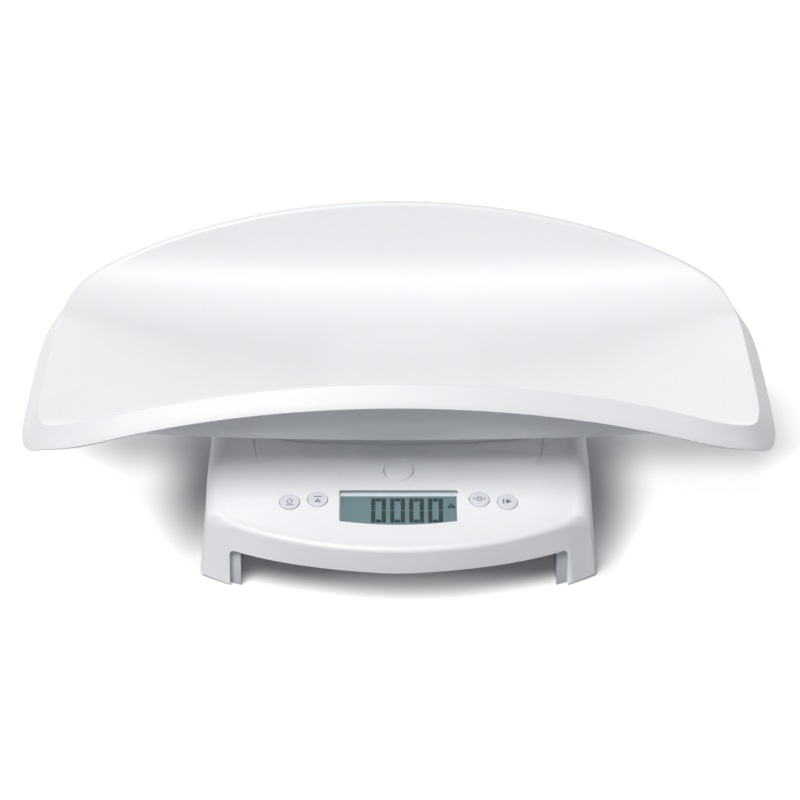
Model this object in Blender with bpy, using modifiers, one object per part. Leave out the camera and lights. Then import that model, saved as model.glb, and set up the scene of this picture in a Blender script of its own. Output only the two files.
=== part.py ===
"""Digital baby weighing scale: a lift-off trough tray on a four-legged electronic base.

Metres, +Z up, origin under the middle of the scale on the table.  The operator stands on the -Y side,
where the display panel slopes down to a bulged apron.  The tray is a gutter whose axis runs along X.
"""
import math

import bmesh
import bpy
from mathutils import Matrix, Vector

# Shared clearances and overruns
GAP = 0.0003              # between pieces that touch on the real scale
RUN_GAP = 0.0004          # round sliding and pressing pieces
OVERRUN = 0.002           # how far a cutter reaches past what it cuts
OUTLINE_FINENESS = 12
CORNER_WEIGHT = 0.040     # how many metres of outline one radian of turning counts for
ROUND_SIDES = 24
FINE_SIDES = 12
ROUNDING_STEPS = 3
SHARP_ANGLE = math.radians(30)    # edges that turn more than this stay crisp

# Base outline, seen from above
BASE_HALF_WIDTH = 0.1465
BASE_FRONT = 0.160        # apron's middle, in front of the origin
BASE_REAR = 0.140
APRON_RADIUS = 0.235      # bulge of the apron
REAR_BOW = 0.01816        # how far the rear edge's middle stands out past its corners
REAR_RADIUS = (BASE_HALF_WIDTH ** 2 / REAR_BOW + REAR_BOW) / 2
BASE_CORNER_POWERS = (44, 26)     # front and rear: the higher, the tighter
LEG_LEAN = 0.0050         # how far the legs and sides splay out from the shoulder to the foot
LEAN_START_INSET = 0.0965     # from the side; the apron's middle stays upright
LEAN_FULL_INSET = 0.0265
LEAN_START = BASE_HALF_WIDTH - LEAN_START_INSET
LEAN_FULL = BASE_HALF_WIDTH - LEAN_FULL_INSET
LEG_FOOT_Z = 0.002        # lower edge of the upper housing's legs
HOUSING_WALL = 0.003

# Base heights and the sloped panel
BASE_TOP_Z = 0.0745
APRON_TOP_Z = 0.0485
PANEL_REAR = 0.0635       # where the panel meets the flat top, in front of the origin, in the middle
PANEL_REAR_RADIUS = 0.407
PANEL_REAR_INSET = 0.0425     # from the side; the panel's rear edge runs straight there
PANEL_REAR_HALF = BASE_HALF_WIDTH - PANEL_REAR_INSET
FRONT_SHOULDER = 0.0045
SIDE_SHOULDER = 0.014
TIGHT_SHOULDER = (0.55, 0.90)     # how far an edge faces the operator where it starts and ends tightening
SHOULDER_STEPS = 5
PANEL_COLUMNS = 32
PANEL_ROWS = 6
TOP_ROWS = 7

# Openings under the base
LEG_WIDTH = 0.0230
ARCH_HALF_WIDTH = BASE_HALF_WIDTH - LEG_WIDTH
ARCH_TOP_Z = 0.0292
ARCH_SIDE_FRONT = 0.082
ARCH_SIDE_REAR = 0.091
ARCH_ROUNDING = 0.004

# Lower housing, nested inside the upper one
NEST_GAP = 0.0020
LOWER_FOOT_Z = 0.0008
LOWER_WALL = 0.0022
LOWER_FLOOR_Z = 0.0262
LOWER_FLOOR = 0.0024
LOWER_RIM_Z = 0.0355
LOWER_POINTS = 92
LOWER_ARCH_INSET = 0.008  # how much of each lower leg shows beside the upper one

# Guide grooves on the flat top
GROOVE_FRONT_INSET = 0.0425
GROOVE_FRONT_Y = -0.0805
GROOVE_REAR_INSET = 0.0370
GROOVE_REAR_Y = -0.0300
GROOVE_FRONT = (BASE_HALF_WIDTH - GROOVE_FRONT_INSET, GROOVE_FRONT_Y)
GROOVE_REAR = (BASE_HALF_WIDTH - GROOVE_REAR_INSET, GROOVE_REAR_Y)
GROOVE_WIDTH = 0.0014
GROOVE_DEPTH = 0.0012

# Main board, parallel to the middle of the panel
BOARD_INSET = 0.0585      # from the base's side
BOARD_HALF_WIDTH = BASE_HALF_WIDTH - BOARD_INSET
BOARD_REAR_Y = -0.1035
BOARD_FRONT_Y = -0.1330
BOARD_THICKNESS = 0.0016
BOARD_DEPTH = 0.0125      # under the panel's outer face
SWITCH_SIDE = 0.0060
SWITCH_HEIGHT = 0.0034
SWITCH_PLUNGER_RADIUS = 0.0015
SWITCH_PLUNGER = 0.0010
BOARD_SCREW_INSET = 0.0190
BOARD_SCREW_X = BOARD_HALF_WIDTH - BOARD_SCREW_INSET
BOARD_SCREW_LENGTH = 0.0070
BOARD_POST_RADIUS = 0.0030

# Keys on the panel over the board's switches, left to right, as places on the panel
KEY_OUTER_INSET = 0.0086      # from the board's end
KEY_OUTER_Y = -0.1118
KEY_INNER_INSET = 0.0290
KEY_INNER_Y = -0.1100
KEY_OUTER = (BOARD_HALF_WIDTH - KEY_OUTER_INSET, KEY_OUTER_Y)
KEY_INNER = (BOARD_HALF_WIDTH - KEY_INNER_INSET, KEY_INNER_Y)
KEY_PLACES = {
    "key_outer_left": (-KEY_OUTER[0], KEY_OUTER[1]),
    "key_inner_left": (-KEY_INNER[0], KEY_INNER[1]),
    "key_inner_right": KEY_INNER,
    "key_outer_right": KEY_OUTER,
}
KEY_RADIUS = 0.0074
KEY_RISE = 0.0009
KEY_FLANGE_RADIUS = 0.0092
KEY_FLANGE = 0.0010
KEY_STEM_RADIUS = 0.0016
KEY_TRAVEL = 0.0008

# Release button, latch slider and their guide
RELEASE_Y = -0.0810
RELEASE_RADIUS = 0.0108
RELEASE_FLANGE_RADIUS = 0.0125
RELEASE_FLANGE = 0.0009
RELEASE_STEM_RADIUS = 0.0064
RELEASE_CONE_TOP = 0.0047     # depth under the panel where the 45 degree wedge begins
RELEASE_CONE_DEPTH = 0.0054
SLIDER_HALF_WIDTH = 0.0120
SLIDER_THICKNESS = 0.0028
SLIDER_TOP_Z = 0.0610
SLIDER_FRONT_Y = -0.0900
SLIDER_WINDOW_REAR_Y = -0.0690
SLIDER_NOSE_Y = -0.0468
SLIDER_NOSE_HALF = 0.0070
SLIDER_NOSE_LENGTH = 0.0100
SLIDER_WINDOW_HALF = 0.0060
GUIDE_WALL = 0.0018
GUIDE_FRONT_Y = -0.0985
GUIDE_REAR_Y = -0.0560
LATCH_SPRING_RADIUS = 0.0011
LATCH_SPRING_WIRE = 0.00025
LATCH_SPRING_TURNS = 5
LATCH_SPRING_POINTS = 8

# Display
WINDOW_INSET = 0.0448         # from the board's end
WINDOW_HALF_WIDTH = BOARD_HALF_WIDTH - WINDOW_INSET
WINDOW_REAR_Y = -0.1012
WINDOW_FRONT_Y = -0.1345
WINDOW_THICKNESS = 0.0016
WINDOW_RECESS = 0.0010
WINDOW_LEDGE = 0.0022
LCD_THICKNESS = 0.0024
LCD_SPACE = 0.0012
LCD_HALF_Y = 0.0125
LCD_SHIFT = -0.0022       # from the window's middle towards the operator
LCD_FRAME_WALL = 0.0018

# Legs, load cells and feet
LEG_INSET = 0.0210        # from the base's side to the foot's middle
LEG_X = BASE_HALF_WIDTH - LEG_INSET
LEG_FRONT_Y = -0.0916
LEG_REAR_Y = 0.0982
FOOT_RADIUS = 0.0075
FOOT_PAD_THICKNESS = 0.0018
FOOT_CUP_HEIGHT = 0.0085
FOOT_HOLE_GAP = 0.0007
CELL_HALF_X = 0.0062
CELL_HALF_Y = 0.0112
CELL_THICKNESS = 0.0024
CELL_SLOT = 0.0014
CELL_TONGUE_HALF = 0.0030
CELL_SLOT_HALF_Y = 0.0080
CELL_POST_RADIUS = 0.0020
CELL_POST_Y = 0.0100
FOOT_STUD_RADIUS = 0.0022
FOOT_STUD_HEIGHT = 0.0022

# Housing screws and posts
POST_INSET = 0.0465
POST_X = BASE_HALF_WIDTH - POST_INSET
POST_FRONT_Y = -0.0480
POST_REAR_Y = 0.1000
HOUSING_SCREWS = [(-POST_X, POST_FRONT_Y), (POST_X, POST_FRONT_Y), (-POST_X, POST_REAR_Y),
                  (POST_X, POST_REAR_Y)]
POST_RADIUS = 0.0045
SCREW_RADIUS = 0.0014
SCREW_HEAD_RADIUS = 0.0029
SCREW_HEAD = 0.0018
HOUSING_SCREW_LENGTH = 0.0120
TRAY_SCREW_LENGTH = 0.0080

# Battery bay
CELL_RADIUS = 0.00725
CELL_LENGTH = 0.0505
CELL_CAP_RADIUS = 0.0027
CELL_CAP = 0.0012
BATTERY_COUNT = 4
BATTERY_PITCH = 0.0150
BATTERY_Y = 0.0450
HOLDER_WALL = 0.0018
HOLDER_END_ROOM = 0.0030
CONTACT_THICKNESS = 0.0006
DOOR_THICKNESS = 0.0020

# Leads
LEAD_RADIUS = 0.0009
LEAD_BEND = 0.0040
LEAD_BEND_POINTS = 4

# Tray trough: section along Y, measured on the upper surface
TRAY_FLOOR_Z = 0.1020
TRAY_FLOOR_FRONT = 0.0810     # floor's front end, in front of the origin
TRAY_FLOOR_REAR = 0.0845
TRAY_BACK_RADIUS = 0.0625
TRAY_BACK_SLOPE = math.radians(70)
TRAY_FRONT_RADIUS = 0.0300
TRAY_FRONT_SLOPE = math.radians(76)
TRAY_END_LIFT = 0.0105
TRAY_WALL = 0.0026

# Tray outline, measured along the bent sheet
SHEET_HALF_WIDTH = 0.2650
SHEET_REAR = 0.1955
SHEET_FRONT = 0.1585
SHEET_REAR_BOW = 0.07538          # how far the rear edge's middle stands out past its corners
SHEET_FRONT_BOW = 0.06429
SHEET_REAR_RADIUS = (SHEET_HALF_WIDTH ** 2 / SHEET_REAR_BOW + SHEET_REAR_BOW) / 2
SHEET_FRONT_RADIUS = (SHEET_HALF_WIDTH ** 2 / SHEET_FRONT_BOW + SHEET_FRONT_BOW) / 2
SHEET_CORNER_POWERS = (22, 18)
TRAY_COLUMNS = 30
TRAY_FRONT_ROWS = 8
TRAY_FLOOR_ROWS = 3
TRAY_BACK_ROWS = 13

# Tray rim: rolls over, then drops
RIM_EDGE_ROLL = 0.0028    # where the sheet ends level, at the two ends
RIM_ROLL = 0.0034         # where the sheet ends in the front wall
RIM_WALL_SLOPES = (0.35, 1.20)
RIM_BACK_ROLL = 0.0042
RIM_DROP = 0.0162
RIM_SIDE_DROP = 0.0205
RIM_BACK_DROP = 0.0030
RIM_SLOPE = math.radians(50)
RIM_SIDE_SLOPE = math.radians(58)
RIM_BACK_SLOPE = math.radians(84)
RIM_SIDE_FACING = (0.45, 0.95)    # how far an edge faces sideways where its rim starts and ends steepening
RIM_BACK_START = 0.0980       # along the sheet, where the rim starts and ends narrowing to the back's
RIM_BACK_FULL = 0.1300
RIM_STEPS = 4

# Pedestal under the tray
PEDESTAL_POINTS = 56
PEDESTAL_INSET = 0.0495       # from the base's side
PEDESTAL_HALF_WIDTH = BASE_HALF_WIDTH - PEDESTAL_INSET
PEDESTAL_FRONT = 0.0520
PEDESTAL_REAR = 0.0760
PEDESTAL_FRONT_RADIUS = 0.700
PEDESTAL_REAR_RADIUS = 0.900
PEDESTAL_CORNER_POWERS = (12, 12)
PEDESTAL_WALL = 0.0025
PEDESTAL_WEB_Z = 0.0900
PEDESTAL_WEB = 0.0025
TRAY_SCREW_INSET = 0.0270
TRAY_SCREW_X = PEDESTAL_HALF_WIDTH - TRAY_SCREW_INSET
TRAY_SCREW_FRONT_Y = -0.0250
TRAY_SCREW_REAR_Y = 0.0500
TRAY_SCREWS = [(-TRAY_SCREW_X, TRAY_SCREW_FRONT_Y), (TRAY_SCREW_X, TRAY_SCREW_FRONT_Y),
               (-TRAY_SCREW_X, TRAY_SCREW_REAR_Y), (TRAY_SCREW_X, TRAY_SCREW_REAR_Y)]
TRAY_BOSS_RADIUS = 0.0045
CATCH_HALF_WIDTH = 0.0080
CATCH_FRONT_Y = -0.0464
CATCH_THICKNESS = 0.0045
CATCH_NOTCH = 0.0018
CATCH_FOOT_Z = 0.0530
CATCH_TOE = 0.0045
TAB_INSET = 0.0420
TAB_X = PEDESTAL_HALF_WIDTH - TAB_INSET
TAB_Y = 0.0560
TAB_HALF_WIDTH = 0.0070
TAB_THICKNESS = 0.0030
TAB_DEPTH = 0.0110
SLOT_GAP = 0.0010

# The scale was laid out from its display panel; this brings the middle of its overall depth to the origin
CENTRING_Y = -0.00176

PART = "baby_scale"
CUTTERS = "baby_scale_cutters"


def start_scene():
    for old in list(bpy.data.objects):
        bpy.data.objects.remove(old, do_unlink=True)
    for title in (PART, CUTTERS):
        made = bpy.data.collections.new(title)
        bpy.context.scene.collection.children.link(made)


def finish_material(name, colour, roughness, metallic=0.0):
    made = bpy.data.materials.new(name)
    made.use_nodes = True
    shader = made.node_tree.nodes["Principled BSDF"]
    shader.inputs["Base Color"].default_value = (*colour, 1.0)
    shader.inputs["Roughness"].default_value = roughness
    shader.inputs["Metallic"].default_value = metallic
    made.diffuse_color = (*colour, 1.0)
    return made


def make_materials():
    return {
        "white_plastic": finish_material("white_plastic", (0.86, 0.87, 0.88), 0.35),
        "tray_plastic": finish_material("tray_plastic", (0.88, 0.89, 0.90), 0.30),
        "lower_plastic": finish_material("lower_plastic", (0.72, 0.73, 0.76), 0.45),
        "key_plastic": finish_material("key_plastic", (0.72, 0.72, 0.78), 0.40),
        "window": finish_material("window", (0.30, 0.40, 0.43), 0.10),
        "lcd_glass": finish_material("lcd_glass", (0.22, 0.30, 0.32), 0.20),
        "inner_plastic": finish_material("inner_plastic", (0.25, 0.26, 0.28), 0.50),
        "circuit_board": finish_material("circuit_board", (0.05, 0.25, 0.12), 0.50),
        "switch_body": finish_material("switch_body", (0.06, 0.06, 0.07), 0.50),
        "spring_steel": finish_material("spring_steel", (0.60, 0.61, 0.63), 0.30, 1.0),
        "cell_steel": finish_material("cell_steel", (0.55, 0.56, 0.58), 0.35, 1.0),
        "screw_steel": finish_material("screw_steel", (0.50, 0.51, 0.53), 0.35, 1.0),
        "battery": finish_material("battery", (0.12, 0.16, 0.30), 0.35),
        "rubber": finish_material("rubber", (0.10, 0.10, 0.11), 0.80),
        "lead": finish_material("lead", (0.35, 0.05, 0.05), 0.55),
    }


def put(made, group, material=None):
    bpy.data.collections[group].objects.link(made)
    if material is not None:
        made.data.materials.append(material)
    if group == CUTTERS:
        made.hide_render = True
        made.display_type = "WIRE"
    return made


def from_bmesh(name, shape, group, material=None):
    bmesh.ops.recalc_face_normals(shape, faces=shape.faces)
    mesh = bpy.data.meshes.new(name)
    shape.to_mesh(mesh)
    shape.free()
    return put(bpy.data.objects.new(name, mesh), group, material)


def smooth(made):
    made.data.shade_smooth()
    made.data.set_sharp_from_angle(angle=SHARP_ANGLE)
    return made


def block(name, low, high, group=PART, material=None, place=None, rounding=0.0):
    """A box between two corners, moved by a matrix and with rounded edges if asked."""
    shape = bmesh.new()
    bmesh.ops.create_cube(shape, size=1)
    size = Vector(high) - Vector(low)
    middle = (Vector(high) + Vector(low)) / 2
    bmesh.ops.scale(shape, vec=size, verts=shape.verts)
    bmesh.ops.translate(shape, vec=middle, verts=shape.verts)
    made = from_bmesh(name, shape, group, material)
    if rounding:
        soften = made.modifiers.new("rounding", "BEVEL")
        soften.width = rounding
        soften.segments = ROUNDING_STEPS
    if place is not None:
        made.matrix_world = place
    return made


def leg_gaps(name, half_width, front, rear, top, rounding):
    """A cross-shaped cutter for the openings between the four legs."""
    reach = BASE_FRONT + OVERRUN
    made = block(name, (-half_width, -reach, -OVERRUN), (half_width, reach, top), CUTTERS)
    across = block(f"{name}_across", (-reach, -front, -OVERRUN), (reach, rear, top), CUTTERS)
    boolean(made, across, "UNION")
    if rounding:
        soften = made.modifiers.new("rounding", "BEVEL")
        soften.width = rounding
        soften.segments = ROUNDING_STEPS
        soften.limit_method = "ANGLE"
    return made


def rod(name, radius, low, high, group=PART, material=None, place=None, sides=ROUND_SIDES):
    """A cylinder along Z between two heights, at the place that the matrix gives."""
    shape = bmesh.new()
    bmesh.ops.create_cone(shape, cap_ends=True, segments=sides, radius1=radius, radius2=radius,
                          depth=high - low)
    bmesh.ops.translate(shape, vec=(0, 0, (high + low) / 2), verts=shape.verts)
    made = from_bmesh(name, shape, group, material)
    if place is not None:
        made.matrix_world = place
    if group == PART:
        smooth(made)
    return made


def turned(name, profile, material, place, group=PART, sides=ROUND_SIDES):
    """A profile of (radius, height) pairs, top to bottom, turned round Z."""
    mesh = bpy.data.meshes.new(name)
    points = [(radius, 0, height) for radius, height in profile]
    mesh.from_pydata(points, [(i, i + 1) for i in range(len(points) - 1)], [])
    made = put(bpy.data.objects.new(name, mesh), group, material)
    screw = made.modifiers.new("turn", "SCREW")
    screw.steps = sides
    screw.render_steps = sides
    screw.use_merge_vertices = True
    screw.merge_threshold = GAP / ROUND_SIDES
    screw.use_smooth_shade = True
    made.matrix_world = place
    return made


def boolean(made, tool, operation="DIFFERENCE"):
    change = made.modifiers.new(tool.name, "BOOLEAN")
    change.operation = operation
    change.solver = "EXACT"
    change.object = tool
    return made


def at(x, y, z=0.0):
    return Matrix.Translation((x, y, z))


def outline_reach(angle, half_width, front, rear, front_radius, rear_radius, powers):
    """Distance from the middle to an outline of two straight sides and two bowed ends, softly joined."""
    along = math.sin(angle)
    power = powers[0] if along < 0 else powers[1]
    reaches = [half_width / max(abs(math.cos(angle)), GAP)]
    for centre, radius in ((rear - rear_radius, rear_radius), (front_radius - front, front_radius)):
        dot = along * centre
        reaches.append(dot + math.sqrt(dot * dot - centre * centre + radius * radius))
    nearest = min(reaches)
    return nearest * sum((nearest / reach) ** power for reach in reaches) ** (-1 / power)


def outline_run(shape, start, end, count):
    """Points of an outline from one angle to another, both included, closer where it turns."""
    fine = count * OUTLINE_FINENESS
    points = []
    for i in range(fine + 1):
        angle = start + (end - start) * i / fine
        reach = outline_reach(angle, *shape)
        points.append(Vector((reach * math.cos(angle), reach * math.sin(angle))))
    lengths = [0.0]
    heading = points[1] - points[0]
    for before, after in zip(points, points[1:]):
        step = after - before
        lengths.append(lengths[-1] + step.length + CORNER_WEIGHT * heading.angle(step))
        heading = step
    chosen = []
    place = 0
    for i in range(count + 1):
        target = lengths[-1] * i / count
        while place < fine - 1 and lengths[place + 1] < target:
            place += 1
        span = lengths[place + 1] - lengths[place]
        share = (target - lengths[place]) / span
        chosen.append(points[place].lerp(points[place + 1], share))
    return chosen


def outline_loop(shape, count):
    """The whole outline as a closed loop of points, anticlockwise from +X."""
    return outline_run(shape, 0.0, 2 * math.pi, count)[:-1]


def patch(bottom, top, left, right):
    """Rows of points that fill the space between four edge runs."""
    rows = []
    columns = len(bottom) - 1
    steps = len(left) - 1
    for j in range(steps + 1):
        v = j / steps
        row = []
        for i in range(columns + 1):
            u = i / columns
            ruled_v = bottom[i].lerp(top[i], v)
            ruled_u = left[j].lerp(right[j], u)
            corner_low = bottom[0].lerp(bottom[-1], u)
            corner_high = top[0].lerp(top[-1], u)
            row.append(ruled_v + ruled_u - corner_low.lerp(corner_high, v))
        rows.append(row)
    return rows


def sheet_rows(shape, rails, counts, columns):
    """Grid rows over an outline, with rows lying on the given rails (y of side end, points)."""
    half_width = shape[0]
    front_corner = math.atan2(-rails[0], half_width)
    stops = [front_corner]
    for side_y, _run in rails[1]:
        stops.append(math.atan2(side_y, half_width))
    stops.append(math.atan2(rails[2], half_width))
    bottom = outline_run(shape, -math.pi - stops[0], stops[0], columns)
    rows = []
    for k, count in enumerate(counts):
        right = outline_run(shape, stops[k], stops[k + 1], count)
        left = [Vector((-p.x, p.y)) for p in right]
        if k < len(rails[1]):
            top = rails[1][k][1](right[-1], columns)
        else:
            top = outline_run(shape, math.pi - stops[-1], stops[-1], columns)
        piece = patch(bottom, top, left, right)
        rows.extend(piece if not rows else piece[1:])
        bottom = top
    return rows


def perimeter(rows):
    """The outer ring of a grid, anticlockwise seen from above."""
    ring = list(rows[0])
    ring.extend(row[-1] for row in rows[1:])
    ring.extend(reversed(rows[-1][:-1]))
    ring.extend(row[0] for row in reversed(rows[1:-1]))
    return ring


def ring_normals(ring):
    """Outward horizontal direction at each point of a ring."""
    normals = []
    for i, _point in enumerate(ring):
        along = ring[(i + 1) % len(ring)] - ring[i - 1]
        normals.append(Vector((along.y, -along.x)).normalized())
    return normals


def open_sheet(name, rows, rings, material):
    """A grid of points whose border carries on through rings of points, as one open surface."""
    shape = bmesh.new()
    grid = [[shape.verts.new(point) for point in row] for row in rows]
    for low, high in zip(grid, grid[1:]):
        for i in range(len(low) - 1):
            shape.faces.new((low[i], low[i + 1], high[i + 1], high[i]))
    inner = perimeter(grid)
    for ring in rings:
        outer = [shape.verts.new(point) for point in ring]
        for i, _vert in enumerate(outer):
            after = (i + 1) % len(outer)
            shape.faces.new((inner[i], outer[i], outer[after], inner[after]))
        inner = outer
    mesh = bpy.data.meshes.new(name)
    shape.to_mesh(mesh)
    shape.free()
    return put(bpy.data.objects.new(name, mesh), PART, material)


def thicken(made, wall):
    shell = made.modifiers.new("wall", "SOLIDIFY")
    shell.thickness = wall
    shell.offset = -1
    shell.use_even_offset = True
    return made


def loft(name, loops, group, material=None):
    """A closed solid through loops of equal length, capped at both ends."""
    shape = bmesh.new()
    rings = [[shape.verts.new(point) for point in loop] for loop in loops]
    for low, high in zip(rings, rings[1:]):
        for i, _vert in enumerate(low):
            after = (i + 1) % len(low)
            shape.faces.new((low[i], low[after], high[after], high[i]))
    bmesh.ops.triangulate(shape, faces=shape.faces)
    shape.faces.new(list(reversed(rings[0])))
    shape.faces.new(rings[-1])
    return from_bmesh(name, shape, group, material)


def ease(value, start, full):
    """0 before the start, 1 past the full value, smooth between."""
    share = min(max((value - start) / (full - start), 0.0), 1.0)
    return share * share * (3 - 2 * share)


def shoulder_shape():
    """Outline of the base's upper face inside its rounded shoulder."""
    side = SIDE_SHOULDER + LEG_LEAN
    return (BASE_HALF_WIDTH - side, BASE_FRONT - FRONT_SHOULDER, BASE_REAR - side,
            APRON_RADIUS - FRONT_SHOULDER, REAR_RADIUS - side, BASE_CORNER_POWERS)


def lean_at(point):
    return LEG_LEAN * ease(abs(point.x), LEAN_START, LEAN_FULL)


def apron_y(x, out=0.0):
    """Y of the apron's arc, drawn out past the panel's front edge by some length."""
    return -BASE_FRONT + APRON_RADIUS - math.sqrt((APRON_RADIUS + out) ** 2 - x * x)


def behind_apron(place, out):
    """A place of the skirt's outline, kept behind the drawn-out arc so that the corners stay crisp."""
    return Vector((place.x, max(place.y, apron_y(place.x, out))))


def panel_rear_y(x):
    x = min(abs(x), PANEL_REAR_HALF)
    return -PANEL_REAR - PANEL_REAR_RADIUS + math.sqrt(PANEL_REAR_RADIUS ** 2 - x * x)


def top_height(x, y):
    """Height of the base's upper face: the sloped panel, then the flat top."""
    front = apron_y(x)
    rear = panel_rear_y(x)
    share = min(max((y - front) / (rear - front), 0.0), 1.0)
    return APRON_TOP_Z + (BASE_TOP_Z - APRON_TOP_Z) * share


def panel_place(x, y):
    """A frame on the panel: its origin on the surface, its Z along the outward normal."""
    slope_x = (top_height(x + GAP, y) - top_height(x - GAP, y)) / (2 * GAP)
    slope_y = (top_height(x, y + GAP) - top_height(x, y - GAP)) / (2 * GAP)
    normal = Vector((-slope_x, -slope_y, 1)).normalized()
    side = Vector((1, 0, slope_x)).normalized()
    back = normal.cross(side)
    turn = Matrix((side, back, normal)).transposed().to_4x4()
    return Matrix.Translation((x, y, top_height(x, y))) @ turn


def shoulder_radius(direction):
    """Rounding of the base's upper edge: tight along the apron, full elsewhere."""
    return SIDE_SHOULDER + (FRONT_SHOULDER - SIDE_SHOULDER) * ease(-direction.y, *TIGHT_SHOULDER)


def make_upper_housing(finish):
    shape = shoulder_shape()
    half_width, front, rear, front_radius, rear_radius, _powers = shape
    front_corner = front - front_radius + math.sqrt(front_radius ** 2 - half_width ** 2)
    rear_corner = rear - rear_radius + math.sqrt(rear_radius ** 2 - half_width ** 2)

    def panel_rail(side_point, columns):
        across = [side_point.x * (2 * i / columns - 1) for i in range(columns + 1)]
        return [Vector((x, panel_rear_y(x))) for x in across]

    rails = [(panel_rear_y(half_width), panel_rail)]
    flat = sheet_rows(shape, (front_corner, rails, rear_corner), (PANEL_ROWS, TOP_ROWS), PANEL_COLUMNS)
    rows = [[Vector((p.x, p.y, top_height(p.x, p.y))) for p in row] for row in flat]
    border = perimeter(flat)
    normals = ring_normals(border)
    radii = [shoulder_radius(normal) for normal in normals]
    rings = []
    for k in range(1, SHOULDER_STEPS + 1):
        turn = math.pi / 2 * k / SHOULDER_STEPS
        ring = []
        for point, normal, radius in zip(border, normals, radii):
            place = point + normal * radius * math.sin(turn)
            place = behind_apron(place, FRONT_SHOULDER * (math.sin(turn) - 1))
            height = top_height(point.x, point.y) - radius * (1 - math.cos(turn))
            ring.append(Vector((place.x, place.y, height)))
        rings.append(ring)
    foot = []
    for point, normal, radius in zip(border, normals, radii):
        place = behind_apron(point + normal * (radius + lean_at(point)), lean_at(point))
        foot.append(Vector((place.x, place.y, LEG_FOOT_Z)))
    rings.append(foot)
    made = open_sheet("upper_housing", rows, rings, finish["white_plastic"])
    thicken(made, HOUSING_WALL)
    for i, (x, y) in enumerate(HOUSING_SCREWS):
        low = LOWER_FLOOR_Z + LOWER_FLOOR + GAP
        post = rod(f"post_{i}", POST_RADIUS, low, BASE_TOP_Z - HOUSING_WALL / 2, CUTTERS,
                   place=at(x, y), sides=FINE_SIDES)
        boolean(made, post, "UNION")
        bore = rod(f"post_bore_{i}", SCREW_RADIUS + GAP, low - OVERRUN, low + HOUSING_SCREW_LENGTH,
                   CUTTERS, place=at(x, y), sides=FINE_SIDES)
        boolean(made, bore)
    board = board_frame()
    for side in (-1, 1):
        low = -BOARD_DEPTH + GAP
        spot = board @ at(side * BOARD_SCREW_X, 0)
        post = rod(f"board_post_{side}", BOARD_POST_RADIUS, low, -HOUSING_WALL / 2, CUTTERS, place=spot,
                   sides=FINE_SIDES)
        boolean(made, post, "UNION")
        bore = rod(f"board_bore_{side}", SCREW_RADIUS + GAP, low - OVERRUN, low + BOARD_SCREW_LENGTH,
                   CUTTERS, place=spot, sides=FINE_SIDES)
        boolean(made, bore)
    cut_housing(made)
    return smooth(made)


def cut_housing(made):
    """Leg openings, display well, key and button holes, latch slots and guide grooves."""
    boolean(made, leg_gaps("arches", ARCH_HALF_WIDTH, ARCH_SIDE_FRONT, ARCH_SIDE_REAR, ARCH_TOP_Z,
                           ARCH_ROUNDING))
    window_y = (WINDOW_REAR_Y + WINDOW_FRONT_Y) / 2
    frame = panel_place(0.0, window_y)
    half_y = window_half_y()
    well = block("window_well", (-WINDOW_HALF_WIDTH, -half_y, -WINDOW_RECESS - WINDOW_THICKNESS - GAP),
                 (WINDOW_HALF_WIDTH, half_y, OVERRUN), CUTTERS, place=frame)
    boolean(made, well)
    ledge_x = WINDOW_HALF_WIDTH - WINDOW_LEDGE
    ledge_y = half_y - WINDOW_LEDGE
    light = block("window_light", (-ledge_x, -ledge_y, -HOUSING_WALL - 2 * OVERRUN),
                  (ledge_x, ledge_y, OVERRUN), CUTTERS, place=frame)
    boolean(made, light)
    for name, (x, y) in KEY_PLACES.items():
        hole = rod(f"hole_{name}", KEY_RADIUS + RUN_GAP, -HOUSING_WALL - OVERRUN, OVERRUN, CUTTERS,
                   place=panel_place(x, y))
        boolean(made, hole)
    hole = rod("hole_release", RELEASE_RADIUS + RUN_GAP, -HOUSING_WALL - OVERRUN, OVERRUN, CUTTERS,
               place=panel_place(0.0, RELEASE_Y))
    boolean(made, hole)
    slot = block("slot_catch", (-CATCH_HALF_WIDTH - SLOT_GAP, CATCH_FRONT_Y - SLOT_GAP,
                                BASE_TOP_Z - HOUSING_WALL - OVERRUN),
                 (CATCH_HALF_WIDTH + SLOT_GAP, CATCH_FRONT_Y + CATCH_THICKNESS + SLOT_GAP,
                  BASE_TOP_Z + OVERRUN), CUTTERS)
    boolean(made, slot)
    for side in (-1, 1):
        middle = side * TAB_X
        slot = block(f"slot_tab_{side}", (middle - TAB_HALF_WIDTH - SLOT_GAP, TAB_Y - SLOT_GAP,
                                          BASE_TOP_Z - HOUSING_WALL - OVERRUN),
                     (middle + TAB_HALF_WIDTH + SLOT_GAP, TAB_Y + TAB_THICKNESS + SLOT_GAP,
                      BASE_TOP_Z + OVERRUN), CUTTERS)
        boolean(made, slot)
        front = Vector((side * GROOVE_FRONT[0], GROOVE_FRONT[1], 0))
        rear = Vector((side * GROOVE_REAR[0], GROOVE_REAR[1], 0))
        run = rear - front
        turn = Matrix.Rotation(math.atan2(run.y, run.x), 4, "Z")
        groove = block(f"groove_{side}", (0, -GROOVE_WIDTH / 2, BASE_TOP_Z - GROOVE_DEPTH),
                       (run.length, GROOVE_WIDTH / 2, BASE_TOP_Z + OVERRUN), CUTTERS,
                       place=Matrix.Translation(front) @ turn)
        boolean(made, groove)


def window_half_y():
    run = WINDOW_REAR_Y - WINDOW_FRONT_Y
    rise = top_height(0.0, WINDOW_REAR_Y) - top_height(0.0, WINDOW_FRONT_Y)
    return math.hypot(run, rise) / 2


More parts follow.
